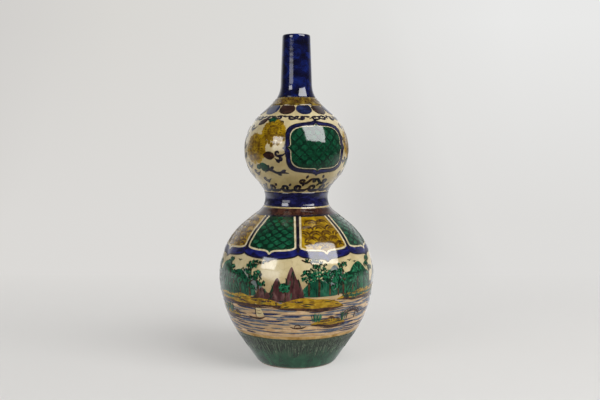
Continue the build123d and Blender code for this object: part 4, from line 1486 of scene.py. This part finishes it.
sweep = [(SWEEP_FRONT, 0.0)]
for degrees in range(0, 91, 5):
    bend = math.radians(degrees)
    sweep.append((SWEEP_BACK - SWEEP_ROUND * (1 - math.sin(bend)), SWEEP_ROUND * (1 - math.cos(bend))))
sweep.append((SWEEP_BACK, SWEEP_TOP))
sheet_points = [(side * SWEEP_WIDTH / 2, y, z) for y, z in sweep for side in (-1, 1)]
sheet_faces = [(2 * i, 2 * i + 1, 2 * i + 3, 2 * i + 2) for i in range(len(sweep) - 1)]
new_piece("backdrop", sheet_points, sheet_faces, pale_sheet())

# Light: two soft boxes in front, a large one to the right and a smaller one to the left, and a dim card
# under the left one. The room is dim in front of the vase, and dimmer still where the glaze mirrors it.
LAMP_DISTANCE = 2.6
AIM = Vector((0, 0, 0.22))
ROOM_FRONT = 0.14
ROOM_BACK = 0.6
ROOM_MIRRORED = 0.35
ROOM_SEEN = 0.74


def soft_box(name, angle, rise, width, height, watts, roll=0.0):
    """Soft box at an angle from the front, to the right, and a rise, aimed at the vase."""
    lamp = bpy.data.lights.new(name, "AREA")
    lamp.shape = "RECTANGLE"
    lamp.size = width
    lamp.size_y = height
    lamp.energy = watts
    around, up = math.radians(angle), math.radians(rise)
    direction = Vector((math.sin(around) * math.cos(up), -math.cos(around) * math.cos(up), math.sin(up)))
    holder = bpy.data.objects.new(name, lamp)
    holder.location = AIM + direction * LAMP_DISTANCE
    lean = Quaternion((0, 0, 1), math.radians(roll))
    holder.rotation_euler = (direction.to_track_quat("Z", "Y") @ lean).to_euler()
    bpy.context.scene.collection.objects.link(holder)


soft_box("right_soft_box", angle=50, rise=39, width=2.0, height=1.6, watts=76, roll=-14)
soft_box("left_soft_box", angle=-43, rise=23, width=1.0, height=0.75, watts=16)
soft_box("left_card", angle=-38, rise=6, width=1.3, height=0.6, watts=7)
world = bpy.data.worlds.new("room")
world.use_nodes = True
room = world.node_tree
direction = room.nodes.new("ShaderNodeTexCoord")
rays = room.nodes.new("ShaderNodeLightPath")
facing = room.nodes.new("ShaderNodeVectorMath")
facing.operation = "DOT_PRODUCT"
room.links.new(direction.outputs["Generated"], facing.inputs[0])
facing.inputs[1].default_value = (0, 1, 0)
levels = []
for value, high, to_low, to_high in (
    (facing.outputs["Value"], 0.7, ROOM_FRONT, ROOM_BACK),
    (rays.outputs["Is Glossy Ray"], 1.0, 1.0, ROOM_MIRRORED),
):
    level = room.nodes.new("ShaderNodeMapRange")
    room.links.new(value, level.inputs["Value"])
    limits = {"From Min": 0.0, "From Max": high, "To Min": to_low, "To Max": to_high}
    for socket, limit in limits.items():
        level.inputs[socket].default_value = limit
    levels.append(level.outputs["Result"])
total = room.nodes.new("ShaderNodeMath")
total.operation = "MULTIPLY"
room.links.new(levels[0], total.inputs[0])
room.links.new(levels[1], total.inputs[1])
seen = room.nodes.new("ShaderNodeMix")
room.links.new(rays.outputs["Is Camera Ray"], seen.inputs[0])
room.links.new(total.outputs["Value"], seen.inputs[2])
seen.inputs[3].default_value = ROOM_SEEN
room.links.new(seen.outputs[0], room.nodes["Background"].inputs["Strength"])
room.nodes["Background"].inputs["Color"].default_value = (1, 1, 1, 1)
bpy.context.scene.world = world
bpy.context.scene.view_settings.view_transform = "Standard"

# Camera: a standard lens about level with the upper bulb and tilted down a little, two and a half
# vase heights away. It only takes the picture, and is no piece of the vase.
CAMERA_PLACE = (4.2 * MM, -973 * MM, 268.3 * MM)
CAMERA_PITCH = 4.67
CAMERA_LENS = 50
CAMERA_SENSOR = 36
lens = bpy.data.cameras.new("camera")
lens.lens = CAMERA_LENS
lens.sensor_width = CAMERA_SENSOR
camera = bpy.data.objects.new("camera", lens)
camera.location = CAMERA_PLACE
camera.rotation_euler = (math.radians(90 - CAMERA_PITCH), 0, 0)
bpy.context.scene.collection.objects.link(camera)
bpy.context.scene.camera = camera
